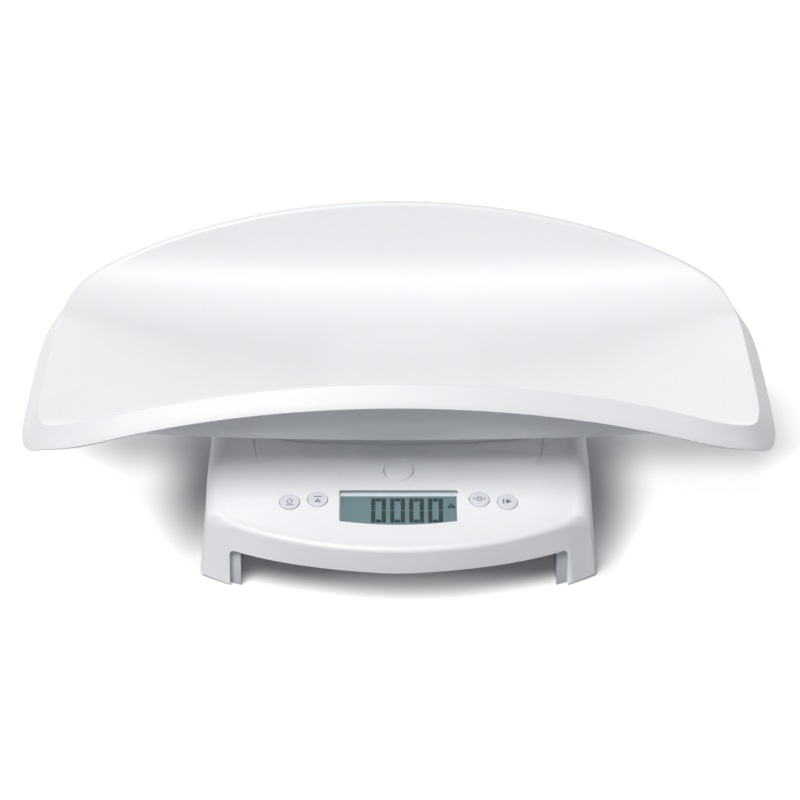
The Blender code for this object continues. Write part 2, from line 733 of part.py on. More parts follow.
def inner_loop(inset, height):
    """The base's skirt at a height, drawn in by an inset."""
    border = outline_loop(shoulder_shape(), LOWER_POINTS)
    share = 1 - (height - LEG_FOOT_Z) / (APRON_TOP_Z - FRONT_SHOULDER - LEG_FOOT_Z)
    loop = []
    for point, normal in zip(border, ring_normals(border)):
        lean = lean_at(point) * share
        place = behind_apron(point + normal * (shoulder_radius(normal) + lean - inset), lean - inset)
        loop.append(Vector((place.x, place.y, height)))
    return loop


def make_lower_housing(finish):
    inset = HOUSING_WALL + NEST_GAP
    made = loft("lower_housing", [inner_loop(inset, LOWER_FOOT_Z), inner_loop(inset, LOWER_RIM_Z)],
                PART, finish["lower_plastic"])
    half = ARCH_HALF_WIDTH - LOWER_ARCH_INSET
    front = ARCH_SIDE_FRONT - LOWER_ARCH_INSET
    rear = ARCH_SIDE_REAR - LOWER_ARCH_INSET
    boolean(made, leg_gaps("lower_arches", half, front, rear, LOWER_FLOOR_Z, ARCH_ROUNDING / 2))
    deep = inset + LOWER_WALL
    room = loft("lower_room", [inner_loop(deep, LOWER_FLOOR_Z + LOWER_FLOOR),
                               inner_loop(deep, LOWER_RIM_Z + OVERRUN)], CUTTERS)
    boolean(made, room)
    deeper = deep + GAP
    pit = loft("leg_pits", [inner_loop(deeper, LOWER_FOOT_Z + LOWER_WALL),
                            inner_loop(deeper, LOWER_RIM_Z + 2 * OVERRUN)], CUTTERS)
    boolean(pit, leg_gaps("pit_keep", half + LOWER_WALL, front + LOWER_WALL, rear + LOWER_WALL,
                          LOWER_RIM_Z + 3 * OVERRUN, 0))
    boolean(made, pit)
    for name, x, y in leg_places():
        hole = rod(f"foot_hole_{name}", FOOT_RADIUS + FOOT_HOLE_GAP, -OVERRUN,
                   LOWER_FOOT_Z + LOWER_WALL + OVERRUN, CUTTERS, place=at(x, y))
        boolean(made, hole)
        for side in (-1, 1):
            post = rod(f"cell_post_{name}_{side}", CELL_POST_RADIUS, LOWER_FOOT_Z + LOWER_WALL / 2,
                       cell_low() - GAP, CUTTERS, sides=FINE_SIDES,
                       place=at(x, y + side * CELL_POST_Y))
            boolean(made, post, "UNION")
    for i, (x, y) in enumerate(HOUSING_SCREWS):
        hole = rod(f"screw_hole_{i}", SCREW_RADIUS + GAP, LOWER_FLOOR_Z - OVERRUN,
                   LOWER_FLOOR_Z + LOWER_FLOOR + OVERRUN, CUTTERS, place=at(x, y), sides=FINE_SIDES)
        boolean(made, hole)
    low, high = door_box()
    door = block("door_hole", (low[0] - GAP, low[1] - GAP, LOWER_FLOOR_Z - OVERRUN),
                 (high[0] + GAP, high[1] + GAP, LOWER_FLOOR_Z + LOWER_FLOOR + OVERRUN), CUTTERS)
    boolean(made, door)
    return made


def leg_places():
    return [("front_left", -LEG_X, LEG_FRONT_Y), ("front_right", LEG_X, LEG_FRONT_Y),
            ("rear_left", -LEG_X, LEG_REAR_Y), ("rear_right", LEG_X, LEG_REAR_Y)]


def cell_low():
    """Underside of a load cell: it rests on the foot cup's stud."""
    return FOOT_PAD_THICKNESS + GAP + FOOT_CUP_HEIGHT + FOOT_STUD_HEIGHT + GAP


def make_feet(finish):
    for name, x, y in leg_places():
        rod(f"foot_pad_{name}", FOOT_RADIUS - FOOT_HOLE_GAP, 0.0, FOOT_PAD_THICKNESS,
            material=finish["rubber"], place=at(x, y))
        low = FOOT_PAD_THICKNESS + GAP
        top = low + FOOT_CUP_HEIGHT
        stud = top + FOOT_STUD_HEIGHT
        profile = [(0, stud), (FOOT_STUD_RADIUS, stud), (FOOT_STUD_RADIUS, top), (FOOT_RADIUS, top),
                   (FOOT_RADIUS, low), (0, low)]
        turned(f"foot_cup_{name}", profile, finish["lower_plastic"], at(x, y))
        made = block(f"load_cell_{name}", (-CELL_HALF_X, -CELL_HALF_Y, 0),
                     (CELL_HALF_X, CELL_HALF_Y, CELL_THICKNESS), material=finish["cell_steel"],
                     place=at(x, y, cell_low()))
        for side in (-1, 1):
            inner = CELL_TONGUE_HALF
            slot = block(f"cell_slot_{name}_{side}",
                         (min(side * inner, side * (inner + CELL_SLOT)), -CELL_SLOT_HALF_Y, -OVERRUN),
                         (max(side * inner, side * (inner + CELL_SLOT)), CELL_SLOT_HALF_Y / 2,
                          CELL_THICKNESS + OVERRUN), CUTTERS, place=at(x, y, cell_low()))
            boolean(made, slot)


def screw(name, place, head_top, length, finish):
    """A pan-head screw that points up, its head just under the given height."""
    head_low = head_top - SCREW_HEAD
    tip = head_top + length
    profile = [(0, tip), (SCREW_RADIUS, tip - SCREW_RADIUS), (SCREW_RADIUS, head_top),
               (SCREW_HEAD_RADIUS, head_top), (SCREW_HEAD_RADIUS, head_low), (0, head_low)]
    turned(name, profile, finish["screw_steel"], place, sides=FINE_SIDES)


def make_screws(finish):
    for i, (x, y) in enumerate(HOUSING_SCREWS):
        screw(f"housing_screw_{i + 1}", at(x, y), LOWER_FLOOR_Z - GAP, HOUSING_SCREW_LENGTH, finish)
    for i, (x, y) in enumerate(TRAY_SCREWS):
        screw(f"tray_screw_{i + 1}", at(x, y), PEDESTAL_WEB_Z - GAP, TRAY_SCREW_LENGTH, finish)


def make_keys(finish):
    for name, (x, y) in KEY_PLACES.items():
        under = -HOUSING_WALL - GAP
        flange_low = under - KEY_FLANGE
        stem_low = switch_top(x, y) + KEY_TRAVEL + GAP
        profile = [(0, KEY_RISE), (KEY_RADIUS - KEY_RISE / 2, KEY_RISE), (KEY_RADIUS, KEY_RISE / 2),
                   (KEY_RADIUS, under), (KEY_FLANGE_RADIUS, under), (KEY_FLANGE_RADIUS, flange_low),
                   (KEY_STEM_RADIUS, flange_low), (KEY_STEM_RADIUS, stem_low), (0, stem_low)]
        turned(name, profile, finish["key_plastic"], panel_place(x, y))


def board_frame():
    return panel_place(0.0, (BOARD_REAR_Y + BOARD_FRONT_Y) / 2)


def board_point(x, y):
    """Where the board's top lies under a place on the panel, as a height along the panel's normal there."""
    key = panel_place(x, y)
    board = board_frame()
    normal = board.to_3x3() @ Vector((0, 0, 1))
    on_board = board @ Vector((0, 0, -BOARD_DEPTH))
    start = key.translation
    along = key.to_3x3() @ Vector((0, 0, 1))
    return (on_board - start).dot(normal) / along.dot(normal)


def switch_top(x, y):
    return board_point(x, y) + GAP + SWITCH_HEIGHT + SWITCH_PLUNGER


def make_board(finish):
    board = board_frame()
    half = (BOARD_REAR_Y - BOARD_FRONT_Y) / 2
    top = -BOARD_DEPTH
    made = block("main_board", (-BOARD_HALF_WIDTH, -half, top - BOARD_THICKNESS),
                 (BOARD_HALF_WIDTH, half, top), material=finish["circuit_board"], place=board)
    for side in (-1, 1):
        hole = rod(f"board_hole_{side}", SCREW_RADIUS + GAP, top - BOARD_THICKNESS - OVERRUN,
                   top + OVERRUN, CUTTERS, place=board @ at(side * BOARD_SCREW_X, 0), sides=FINE_SIDES)
        boolean(made, hole)
        screw(f"board_screw_{'left' if side < 0 else 'right'}", board @ at(side * BOARD_SCREW_X, 0),
              top - BOARD_THICKNESS - GAP, BOARD_SCREW_LENGTH, finish)
    for name, (x, y) in KEY_PLACES.items():
        key = panel_place(x, y)
        spot = board.inverted() @ (key @ Vector((0, 0, board_point(x, y))))
        turned_top = top + GAP + SWITCH_HEIGHT
        body = block(f"switch_{name[4:]}", (-SWITCH_SIDE / 2, -SWITCH_SIDE / 2, top + GAP),
                     (SWITCH_SIDE / 2, SWITCH_SIDE / 2, turned_top), material=finish["switch_body"],
                     place=board @ at(spot.x, spot.y))
        plunger = rod(f"plunger_{name}", SWITCH_PLUNGER_RADIUS, turned_top - SWITCH_HEIGHT / 2,
                      turned_top + SWITCH_PLUNGER, CUTTERS, place=board @ at(spot.x, spot.y),
                      sides=FINE_SIDES)
        boolean(body, plunger, "UNION")


def make_display(finish):
    frame = panel_place(0.0, (WINDOW_REAR_Y + WINDOW_FRONT_Y) / 2)
    half_y = window_half_y()
    top = -WINDOW_RECESS
    block("display_window", (-WINDOW_HALF_WIDTH + GAP, -half_y + GAP, top - WINDOW_THICKNESS),
          (WINDOW_HALF_WIDTH - GAP, half_y - GAP, top), material=finish["window"], place=frame)
    under = -HOUSING_WALL - LCD_SPACE
    glass_x = WINDOW_HALF_WIDTH
    glass_y = LCD_HALF_Y
    shifted = frame @ at(0.0, LCD_SHIFT)
    block("lcd_glass", (-glass_x, -glass_y, under - LCD_THICKNESS), (glass_x, glass_y, under),
          material=finish["lcd_glass"], place=shifted)
    outer_x = glass_x + GAP + LCD_FRAME_WALL
    outer_y = glass_y + GAP + LCD_FRAME_WALL
    board_top = frame.inverted() @ (board_frame() @ Vector((0, 0, -BOARD_DEPTH)))
    low = board_top.z + GAP
    made = block("lcd_frame", (-outer_x, -outer_y, low), (outer_x, outer_y, under),
                 material=finish["inner_plastic"], place=shifted)
    pocket = block("lcd_pocket", (-glass_x - GAP, -glass_y - GAP, under - LCD_THICKNESS - GAP),
                   (glass_x + GAP, glass_y + GAP, under + OVERRUN), CUTTERS, place=shifted)
    boolean(made, pocket)
    hollow = block("lcd_hollow", (-glass_x + LCD_FRAME_WALL, -glass_y + LCD_FRAME_WALL, low - OVERRUN),
                   (glass_x - LCD_FRAME_WALL, glass_y - LCD_FRAME_WALL, under), CUTTERS, place=shifted)
    boolean(made, hollow)


def wedge_place(z):
    """Where the release button's wedge meets a height: its axis, and its front edge, along Y."""
    frame = panel_place(0.0, RELEASE_Y)
    down = frame.to_3x3() @ Vector((0, 0, -1))
    drop = frame.translation.z - z
    apex = RELEASE_STEM_RADIUS + RELEASE_CONE_TOP
    depth = (drop - apex * down.y) / (-down.z - down.y)
    front = frame.translation.y + depth * down.y + (apex - depth) * down.z
    return frame.translation.y - drop * down.y / down.z, front


def make_latch(finish):
    frame = panel_place(0.0, RELEASE_Y)
    under = -HOUSING_WALL - GAP
    flange_low = under - RELEASE_FLANGE
    cone_top = -RELEASE_CONE_TOP
    tip_radius = RELEASE_STEM_RADIUS - RELEASE_CONE_DEPTH
    profile = [(0, 0), (RELEASE_RADIUS, 0), (RELEASE_RADIUS, under), (RELEASE_FLANGE_RADIUS, under),
               (RELEASE_FLANGE_RADIUS, flange_low), (RELEASE_STEM_RADIUS, flange_low),
               (RELEASE_STEM_RADIUS, cone_top), (tip_radius, cone_top - RELEASE_CONE_DEPTH),
               (0, cone_top - RELEASE_CONE_DEPTH)]
    turned("release_button", profile, finish["white_plastic"], frame)
    axis_y, wedge_front = wedge_place(SLIDER_TOP_Z)
    window_front = wedge_front - RUN_GAP
    low = SLIDER_TOP_Z - SLIDER_THICKNESS
    nose_root = SLIDER_NOSE_Y - SLIDER_NOSE_LENGTH
    made = block("latch_slider", (-SLIDER_HALF_WIDTH, SLIDER_FRONT_Y, low),
                 (SLIDER_HALF_WIDTH, nose_root, SLIDER_TOP_Z), material=finish["inner_plastic"])
    nose = block("slider_nose", (-SLIDER_NOSE_HALF, nose_root - OVERRUN, low),
                 (SLIDER_NOSE_HALF, SLIDER_NOSE_Y, SLIDER_TOP_Z), CUTTERS)
    boolean(made, nose, "UNION")
    window = block("slider_window", (-SLIDER_WINDOW_HALF, window_front, low - OVERRUN),
                   (SLIDER_WINDOW_HALF, SLIDER_WINDOW_REAR_Y, SLIDER_TOP_Z + OVERRUN), CUTTERS)
    boolean(made, window)
    seat = low - GAP
    wall_x = SLIDER_HALF_WIDTH + RUN_GAP
    ceiling = BASE_TOP_Z - HOUSING_WALL - GAP
    guide_low = seat - GUIDE_WALL
    body = block("latch_guide", (-wall_x - GUIDE_WALL, GUIDE_FRONT_Y, guide_low),
                 (wall_x + GUIDE_WALL, GUIDE_REAR_Y, SLIDER_TOP_Z), material=finish["inner_plastic"])
    room = block("guide_room", (-wall_x, GUIDE_FRONT_Y + GUIDE_WALL, seat),
                 (wall_x, GUIDE_REAR_Y + OVERRUN, ceiling + OVERRUN), CUTTERS)
    boolean(body, room)
    pit = block("guide_pit", (-SLIDER_WINDOW_HALF, axis_y - SLIDER_WINDOW_HALF, guide_low - OVERRUN),
                (SLIDER_WINDOW_HALF, axis_y + SLIDER_WINDOW_HALF, seat + OVERRUN), CUTTERS)
    boolean(body, pit)
    for side in (-1, 1):
        inner = side * wall_x
        outer = side * (wall_x + GUIDE_WALL)
        ear = block(f"guide_ear_{side}", (min(inner, outer), -PANEL_REAR + OVERRUN, SLIDER_TOP_Z - OVERRUN),
                    (max(inner, outer), GUIDE_REAR_Y, ceiling), CUTTERS)
        boolean(body, ear, "UNION")
    make_latch_spring(finish, GUIDE_FRONT_Y + GUIDE_WALL + GAP, SLIDER_FRONT_Y - GAP,
                      SLIDER_TOP_Z - SLIDER_THICKNESS / 2)


def make_latch_spring(finish, front, rear, height):
    """A small coil along Y between the guide's front wall and the slider."""
    count = LATCH_SPRING_TURNS * LATCH_SPRING_POINTS
    first = front + LATCH_SPRING_WIRE
    run = rear - front - 2 * LATCH_SPRING_WIRE
    route = []
    for i in range(count + 1):
        turn = 2 * math.pi * i / LATCH_SPRING_POINTS
        route.append((LATCH_SPRING_RADIUS * math.cos(turn), first + run * i / count,
                      height + LATCH_SPRING_RADIUS * math.sin(turn)))
    wire("latch_spring", route, LATCH_SPRING_WIRE, finish["spring_steel"])


def holder_box():
    half_x = BATTERY_COUNT * BATTERY_PITCH / 2 + HOLDER_WALL
    half_y = CELL_LENGTH / 2 + CELL_CAP + HOLDER_END_ROOM + HOLDER_WALL
    low = LOWER_FLOOR_Z + LOWER_FLOOR + GAP
    high = low + 2 * CELL_RADIUS + 2 * HOLDER_WALL
    return (-half_x, BATTERY_Y - half_y, low), (half_x, BATTERY_Y + half_y, high)


def door_box():
    low, high = holder_box()
    inset = HOLDER_WALL + GAP
    return (low[0] + inset, low[1] + inset), (high[0] - inset, high[1] - inset)


def make_power(finish):
    low, high = holder_box()
    made = block("battery_holder", low, high, material=finish["inner_plastic"])
    room = block("holder_room", (low[0] + HOLDER_WALL, low[1] + HOLDER_WALL, low[2] - OVERRUN),
                 (high[0] - HOLDER_WALL, high[1] - HOLDER_WALL, high[2] - HOLDER_WALL), CUTTERS)
    boolean(made, room)
    axis_z = high[2] - HOLDER_WALL - GAP - CELL_RADIUS
    for i in range(BATTERY_COUNT):
        x = (i - (BATTERY_COUNT - 1) / 2) * BATTERY_PITCH
        facing = 1 if i % 2 else -1
        half = CELL_LENGTH / 2
        profile = [(0, half + CELL_CAP), (CELL_CAP_RADIUS, half + CELL_CAP), (CELL_CAP_RADIUS, half),
                   (CELL_RADIUS - GAP, half), (CELL_RADIUS - GAP, -half), (0, -half)]
        turn = Matrix.Rotation(-facing * math.pi / 2, 4, "X")
        turned(f"battery_{i + 1}", profile, finish["battery"], at(x, BATTERY_Y, axis_z) @ turn)
    for name, end in (("front", low[1] + HOLDER_WALL + GAP),
                      ("rear", high[1] - HOLDER_WALL - GAP - CONTACT_THICKNESS)):
        block(f"battery_contact_{name}", (low[0] + HOLDER_WALL + GAP, end, axis_z - CELL_RADIUS / 2),
              (high[0] - HOLDER_WALL - GAP, end + CONTACT_THICKNESS, axis_z + CELL_RADIUS / 2),
              material=finish["spring_steel"])
    door_low, door_high = door_box()
    block("battery_door", (door_low[0], door_low[1], LOWER_FLOOR_Z),
          (door_high[0], door_high[1], LOWER_FLOOR_Z + DOOR_THICKNESS), material=finish["lower_plastic"])


def tray_point(x, along):
    """A point of the tray's upper surface: x across, and the distance along the bent sheet."""
    lift = TRAY_END_LIFT * (x / SHEET_HALF_WIDTH) ** 2
    if along > TRAY_FLOOR_REAR:
        start, sense = TRAY_FLOOR_REAR, 1
        radius, slope = TRAY_BACK_RADIUS, TRAY_BACK_SLOPE
    elif along < -TRAY_FLOOR_FRONT:
        start, sense = -TRAY_FLOOR_FRONT, -1
        radius, slope = TRAY_FRONT_RADIUS, TRAY_FRONT_SLOPE
    else:
        return Vector((x, along, TRAY_FLOOR_Z + lift)), 0.0
    run = (along - start) * sense
    turn = min(run / radius, slope)
    past = max(run - radius * slope, 0.0)
    out = radius * math.sin(turn) + past * math.cos(slope)
    rise = radius * (1 - math.cos(turn)) + past * math.sin(slope)
    return Vector((x, start + sense * out, TRAY_FLOOR_Z + rise + lift)), sense * turn


def tray_slope(x, along, direction):
    """Slope of the tray's surface towards a horizontal direction."""
    tilt = tray_point(x, along)[1]
    across = 2 * TRAY_END_LIFT * x / SHEET_HALF_WIDTH ** 2
    return math.atan(math.tan(tilt) * direction.y + across * direction.x)


def back_share(along):
    """0 along the front and ends of the rim, 1 along the back."""
    return ease(along, RIM_BACK_START, RIM_BACK_FULL)


def rim_roll(start, share):
    """Radius of the rim's roll, tighter where the sheet ends level than on a wall."""
    low_wall = RIM_EDGE_ROLL + (RIM_ROLL - RIM_EDGE_ROLL) * ease(start, *RIM_WALL_SLOPES)
    return low_wall + (RIM_BACK_ROLL - low_wall) * share


def rim_end(share, facing):
    """Drop and end slope of the rim: steeper at the two ends, short and upright along the back."""
    side = ease(facing, *RIM_SIDE_FACING)
    drop = RIM_DROP + (RIM_SIDE_DROP - RIM_DROP) * side
    slope = RIM_SLOPE + (RIM_SIDE_SLOPE - RIM_SLOPE) * side
    return drop + (RIM_BACK_DROP - drop) * share, slope + (RIM_BACK_SLOPE - slope) * share


def make_tray(finish):
    shape = (SHEET_HALF_WIDTH, SHEET_FRONT, SHEET_REAR, SHEET_FRONT_RADIUS, SHEET_REAR_RADIUS,
             SHEET_CORNER_POWERS)
    front_corner = SHEET_FRONT - SHEET_FRONT_RADIUS + math.sqrt(SHEET_FRONT_RADIUS ** 2
                                                               - SHEET_HALF_WIDTH ** 2)
    rear_corner = SHEET_REAR - SHEET_REAR_RADIUS + math.sqrt(SHEET_REAR_RADIUS ** 2
                                                             - SHEET_HALF_WIDTH ** 2)

    def straight_rail(side_point, columns):
        return [Vector((side_point.x * (2 * i / columns - 1), side_point.y)) for i in range(columns + 1)]

    rails = [(-TRAY_FLOOR_FRONT, straight_rail), (TRAY_FLOOR_REAR, straight_rail)]
    flat = sheet_rows(shape, (front_corner, rails, rear_corner),
                      (TRAY_FRONT_ROWS, TRAY_FLOOR_ROWS, TRAY_BACK_ROWS), TRAY_COLUMNS)
    rows = [[tray_point(p.x, p.y)[0] for p in row] for row in flat]
    edge = perimeter(flat)
    border = perimeter(rows)
    normals = ring_normals([Vector((p.x, p.y)) for p in border])
    rings = []
    for k in range(1, RIM_STEPS + 2):
        ring = []
        for place, point, normal in zip(edge, border, normals):
            share = back_share(place.y)
            start = tray_slope(place.x, place.y, normal)
            roll = rim_roll(start, share)
            drop, fall = rim_end(share, abs(normal.x))
            end = -fall
            slope = start + (end - start) * min(k / RIM_STEPS, 1.0)
            out = roll * (math.sin(start) - math.sin(slope))
            rise = roll * (math.cos(slope) - math.cos(start))
            if k > RIM_STEPS:
                out += drop * math.cos(end)
                rise += drop * math.sin(end)
            ring.append(point + Vector((normal.x * out, normal.y * out, rise)))
        rings.append(ring)
    made = open_sheet("tray_shell", rows, rings, finish["tray_plastic"])
    thicken(made, TRAY_WALL)
    for i, (x, y) in enumerate(TRAY_SCREWS):
        low = PEDESTAL_WEB_Z + PEDESTAL_WEB + GAP
        boss = rod(f"tray_boss_{i}", TRAY_BOSS_RADIUS, low, TRAY_FLOOR_Z - TRAY_WALL / 2, CUTTERS,
                   place=at(x, y), sides=FINE_SIDES)
        bore = rod(f"tray_bore_{i}", SCREW_RADIUS + GAP, low - OVERRUN, TRAY_FLOOR_Z - TRAY_WALL, CUTTERS,
                   place=at(x, y), sides=FINE_SIDES)
        boolean(made, boss, "UNION")
        boolean(made, bore)
    return smooth(made)


def pedestal_loop(inset, height):
    shape = (PEDESTAL_HALF_WIDTH - inset, PEDESTAL_FRONT - inset, PEDESTAL_REAR - inset,
             PEDESTAL_FRONT_RADIUS - inset, PEDESTAL_REAR_RADIUS - inset, PEDESTAL_CORNER_POWERS)
    return [Vector((p.x, p.y, height)) for p in outline_loop(shape, PEDESTAL_POINTS)]


def make_pedestal(finish):
    low = BASE_TOP_Z + GAP
    high = TRAY_FLOOR_Z - TRAY_WALL - GAP
    made = loft("tray_pedestal", [pedestal_loop(0.0, low), pedestal_loop(0.0, high)], PART,
                finish["tray_plastic"])
    under = loft("pedestal_under", [pedestal_loop(PEDESTAL_WALL, low - OVERRUN),
                                    pedestal_loop(PEDESTAL_WALL, PEDESTAL_WEB_Z)], CUTTERS)
    boolean(made, under)
    over = loft("pedestal_over", [pedestal_loop(PEDESTAL_WALL, PEDESTAL_WEB_Z + PEDESTAL_WEB),
                                  pedestal_loop(PEDESTAL_WALL, high + OVERRUN)], CUTTERS)
    boolean(made, over)
    for i, (x, y) in enumerate(TRAY_SCREWS):
        hole = rod(f"pedestal_hole_{i}", SCREW_RADIUS + GAP, PEDESTAL_WEB_Z - OVERRUN,
                   PEDESTAL_WEB_Z + PEDESTAL_WEB + OVERRUN, CUTTERS, place=at(x, y), sides=FINE_SIDES)
        boolean(made, hole)
    web_middle = PEDESTAL_WEB_Z + PEDESTAL_WEB / 2
    catch = block("catch", (-CATCH_HALF_WIDTH, CATCH_FRONT_Y, CATCH_FOOT_Z),
                  (CATCH_HALF_WIDTH, CATCH_FRONT_Y + CATCH_THICKNESS, web_middle), CUTTERS)
    boolean(made, catch, "UNION")
    notch_low = CATCH_FOOT_Z + CATCH_TOE
    notch = block("catch_notch", (-CATCH_HALF_WIDTH - OVERRUN, CATCH_FRONT_Y - OVERRUN, notch_low),
                  (CATCH_HALF_WIDTH + OVERRUN, CATCH_FRONT_Y + CATCH_NOTCH, SLIDER_TOP_Z + OVERRUN), CUTTERS)
    boolean(made, notch)
    for side in (-1, 1):
        middle = side * TAB_X
        tab = block(f"tab_{side}", (middle - TAB_HALF_WIDTH, TAB_Y, BASE_TOP_Z - TAB_DEPTH),
                    (middle + TAB_HALF_WIDTH, TAB_Y + TAB_THICKNESS, web_middle), CUTTERS)
        boolean(made, tab, "UNION")
    return made


def bent_route(points):
    """A route's straight runs, joined by bends that start at most one bend length from each corner."""
    route = [points[0]]
    for before, corner, after in zip(points, points[1:], points[2:]):
        back = before - corner
        ahead = after - corner
        start = corner + back.normalized() * min(LEAD_BEND, back.length / 2)
        end = corner + ahead.normalized() * min(LEAD_BEND, ahead.length / 2)
        for k in range(LEAD_BEND_POINTS + 1):
            share = k / LEAD_BEND_POINTS
            route.append(start.lerp(corner, share).lerp(corner.lerp(end, share), share))
    route.append(points[-1])
    return route


def wire(name, route, radius, material):
    """A round wire along a route, as one closed mesh."""
    curve = bpy.data.curves.new(name, "CURVE")
    curve.dimensions = "3D"
    curve.bevel_depth = radius
    curve.bevel_resolution = 1
    curve.use_fill_caps = True
    line = curve.splines.new("POLY")
    line.points.add(len(route) - 1)
    for i, point in enumerate(route):
        line.points[i].co = (*point, 1)
    drawn = put(bpy.data.objects.new(name, curve), CUTTERS)
    bpy.context.view_layer.update()
    drawn_mesh = bpy.data.meshes.new_from_object(drawn.evaluated_get(bpy.context.evaluated_depsgraph_get()))
    bpy.data.objects.remove(drawn, do_unlink=True)
    shape = bmesh.new()
    shape.from_mesh(drawn_mesh)
    bpy.data.meshes.remove(drawn_mesh)
    bmesh.ops.remove_doubles(shape, verts=shape.verts, dist=radius / ROUND_SIDES)
    return smooth(from_bmesh(name, shape, PART, material))


def lead(name, points, material):
    wire(name, bent_route([Vector(point) for point in points]), LEAD_RADIUS, material)


def make_leads(finish):
    """Load-cell leads and the battery lead, held along the lower housing's floor."""
    floor = LOWER_FLOOR_Z + LOWER_FLOOR + GAP + LEAD_RADIUS
    above_cell = cell_low() + CELL_THICKNESS + GAP + LEAD_RADIUS
    board = board_frame()
    under_board = board @ Vector((0, 0, -BOARD_DEPTH - BOARD_THICKNESS - GAP - LEAD_RADIUS))
    gather = under_board.y + 2 * LEAD_RADIUS
    leg_wall = ARCH_HALF_WIDTH - LOWER_ARCH_INSET
    for index, (name, x, y) in enumerate(leg_places()):
        side = -1 if x < 0 else 1
        inside = side * (leg_wall - 3 * LEAD_RADIUS)
        lane = side * (BOARD_HALF_WIDTH - (index // 2) * CELL_RADIUS)
        start = (x, y, above_cell)
        rise = (x, y, floor)
        if index < 2:
            route = [start, rise, (inside, y, floor + LEAD_RADIUS), (lane, gather, floor),
                     (lane, gather, under_board.z)]
        else:
            back = SIDE_SHOULDER
            route = [start, rise, (inside, y - back, floor + LEAD_RADIUS), (inside, 0.0, floor),
                     (lane, -ARCH_SIDE_FRONT, floor), (lane, gather, floor),
                     (lane, gather, under_board.z)]
        lead(f"cell_lead_{name}", route, finish["lead"])
    low, _high = holder_box()
    y = low[1] - GAP - LEAD_RADIUS
    lead("battery_lead", [(0.0, y, floor + CELL_RADIUS), (0.0, y - CELL_RADIUS, floor),
                          (0.0, -ARCH_SIDE_FRONT, floor), (0.0, gather, floor),
                          (0.0, gather, under_board.z)], finish["lead"])


def main():
    start_scene()
    finish = make_materials()
    make_upper_housing(finish)
    make_lower_housing(finish)
    make_display(finish)
    make_board(finish)
    make_keys(finish)
    make_latch(finish)
    make_power(finish)
    make_feet(finish)
    make_screws(finish)
    make_tray(finish)
    make_pedestal(finish)
    make_leads(finish)
    for title in (PART, CUTTERS):
        for made in bpy.data.collections[title].objects:
            made.matrix_world = at(0.0, CENTRING_Y) @ made.matrix_world


main()
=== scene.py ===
"""Looks of the digital baby weighing scale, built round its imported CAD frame.

Metres, +Z up.  The operator stands on the -Y side.
"""
import math
from types import SimpleNamespace

import bmesh
import bpy
from mathutils import Matrix, Vector


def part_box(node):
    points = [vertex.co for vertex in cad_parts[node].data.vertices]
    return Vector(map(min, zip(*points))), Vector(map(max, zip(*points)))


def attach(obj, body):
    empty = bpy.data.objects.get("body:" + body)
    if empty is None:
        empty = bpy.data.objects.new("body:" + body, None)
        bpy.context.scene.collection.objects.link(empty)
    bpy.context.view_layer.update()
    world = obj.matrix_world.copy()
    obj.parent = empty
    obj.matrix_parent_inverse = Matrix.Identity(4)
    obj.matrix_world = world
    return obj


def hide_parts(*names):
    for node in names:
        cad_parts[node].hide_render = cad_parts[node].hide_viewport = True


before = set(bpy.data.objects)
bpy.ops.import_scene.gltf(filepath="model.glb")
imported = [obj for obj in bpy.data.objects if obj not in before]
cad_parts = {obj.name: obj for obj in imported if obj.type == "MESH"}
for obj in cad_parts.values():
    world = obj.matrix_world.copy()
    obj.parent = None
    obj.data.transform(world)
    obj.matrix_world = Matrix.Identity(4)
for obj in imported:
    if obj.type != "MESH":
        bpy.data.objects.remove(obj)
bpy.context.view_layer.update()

# The frame's sizes, as in the CAD source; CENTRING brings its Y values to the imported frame
CENTRING = Matrix.Translation((0, -0.00176, 0))
GAP = 0.0003
RUN_GAP = 0.0004
OVER = 0.002
OUTLINE_FINENESS = 10
CORNER_WEIGHT = 0.040     # how many metres of outline one radian of turning counts for

BASE_HALF_WIDTH = 0.1465
BASE_FRONT = 0.160
BASE_REAR = 0.140
APRON_RADIUS = 0.235
REAR_RADIUS = 0.600
BASE_CORNERS = (44, 26)
LEG_LEAN = 0.0050
LEAN_SPAN = (0.050, 0.120)
LEG_FOOT_Z = 0.002
HOUSING_WALL = 0.003
BASE_TOP_Z = 0.0745
APRON_TOP_Z = 0.0485
PANEL_REAR = 0.0635
PANEL_REAR_RADIUS = 0.407
PANEL_REAR_HALF = 0.104
FRONT_SHOULDER = 0.0045
SIDE_SHOULDER = 0.014
TIGHT_SHOULDER = (0.55, 0.90)
ARCH_HALF_WIDTH = 0.1235
ARCH_TOP_Z = 0.0292
ARCH_FRONT = 0.082
ARCH_REAR = 0.091
ARCH_ROUNDING = 0.004
EDGE = 0.0004

NEST_GAP = 0.0020
LOWER_FOOT_Z = 0.0008
LOWER_WALL = 0.0022
LOWER_FLOOR_Z = 0.0262
LOWER_FLOOR = 0.0024
LOWER_RIM_Z = 0.0355
LOWER_INSET = 0.008

KEY_PLACES = {
    "key_outer_left": (-0.0794, -0.1118),
    "key_inner_left": (-0.0590, -0.1100),
    "key_inner_right": (0.0590, -0.1100),
    "key_outer_right": (0.0794, -0.1118),
}
KEY_RADIUS = 0.0072
KEY_RISE = 0.0006
KEY_FLANGE_RADIUS = 0.0092
KEY_FLANGE = 0.0010
KEY_STEM_RADIUS = 0.0016
KEY_STEM_END = -0.0075
RELEASE_Y = -0.0810
RELEASE_RADIUS = 0.0108
RELEASE_CHAMFER = 0.0005
RELEASE_FLANGE_RADIUS = 0.0125
RELEASE_FLANGE = 0.0009
WEDGE_TOP = (0.0064, -0.0047)
WEDGE_END = (0.0010, -0.0101)

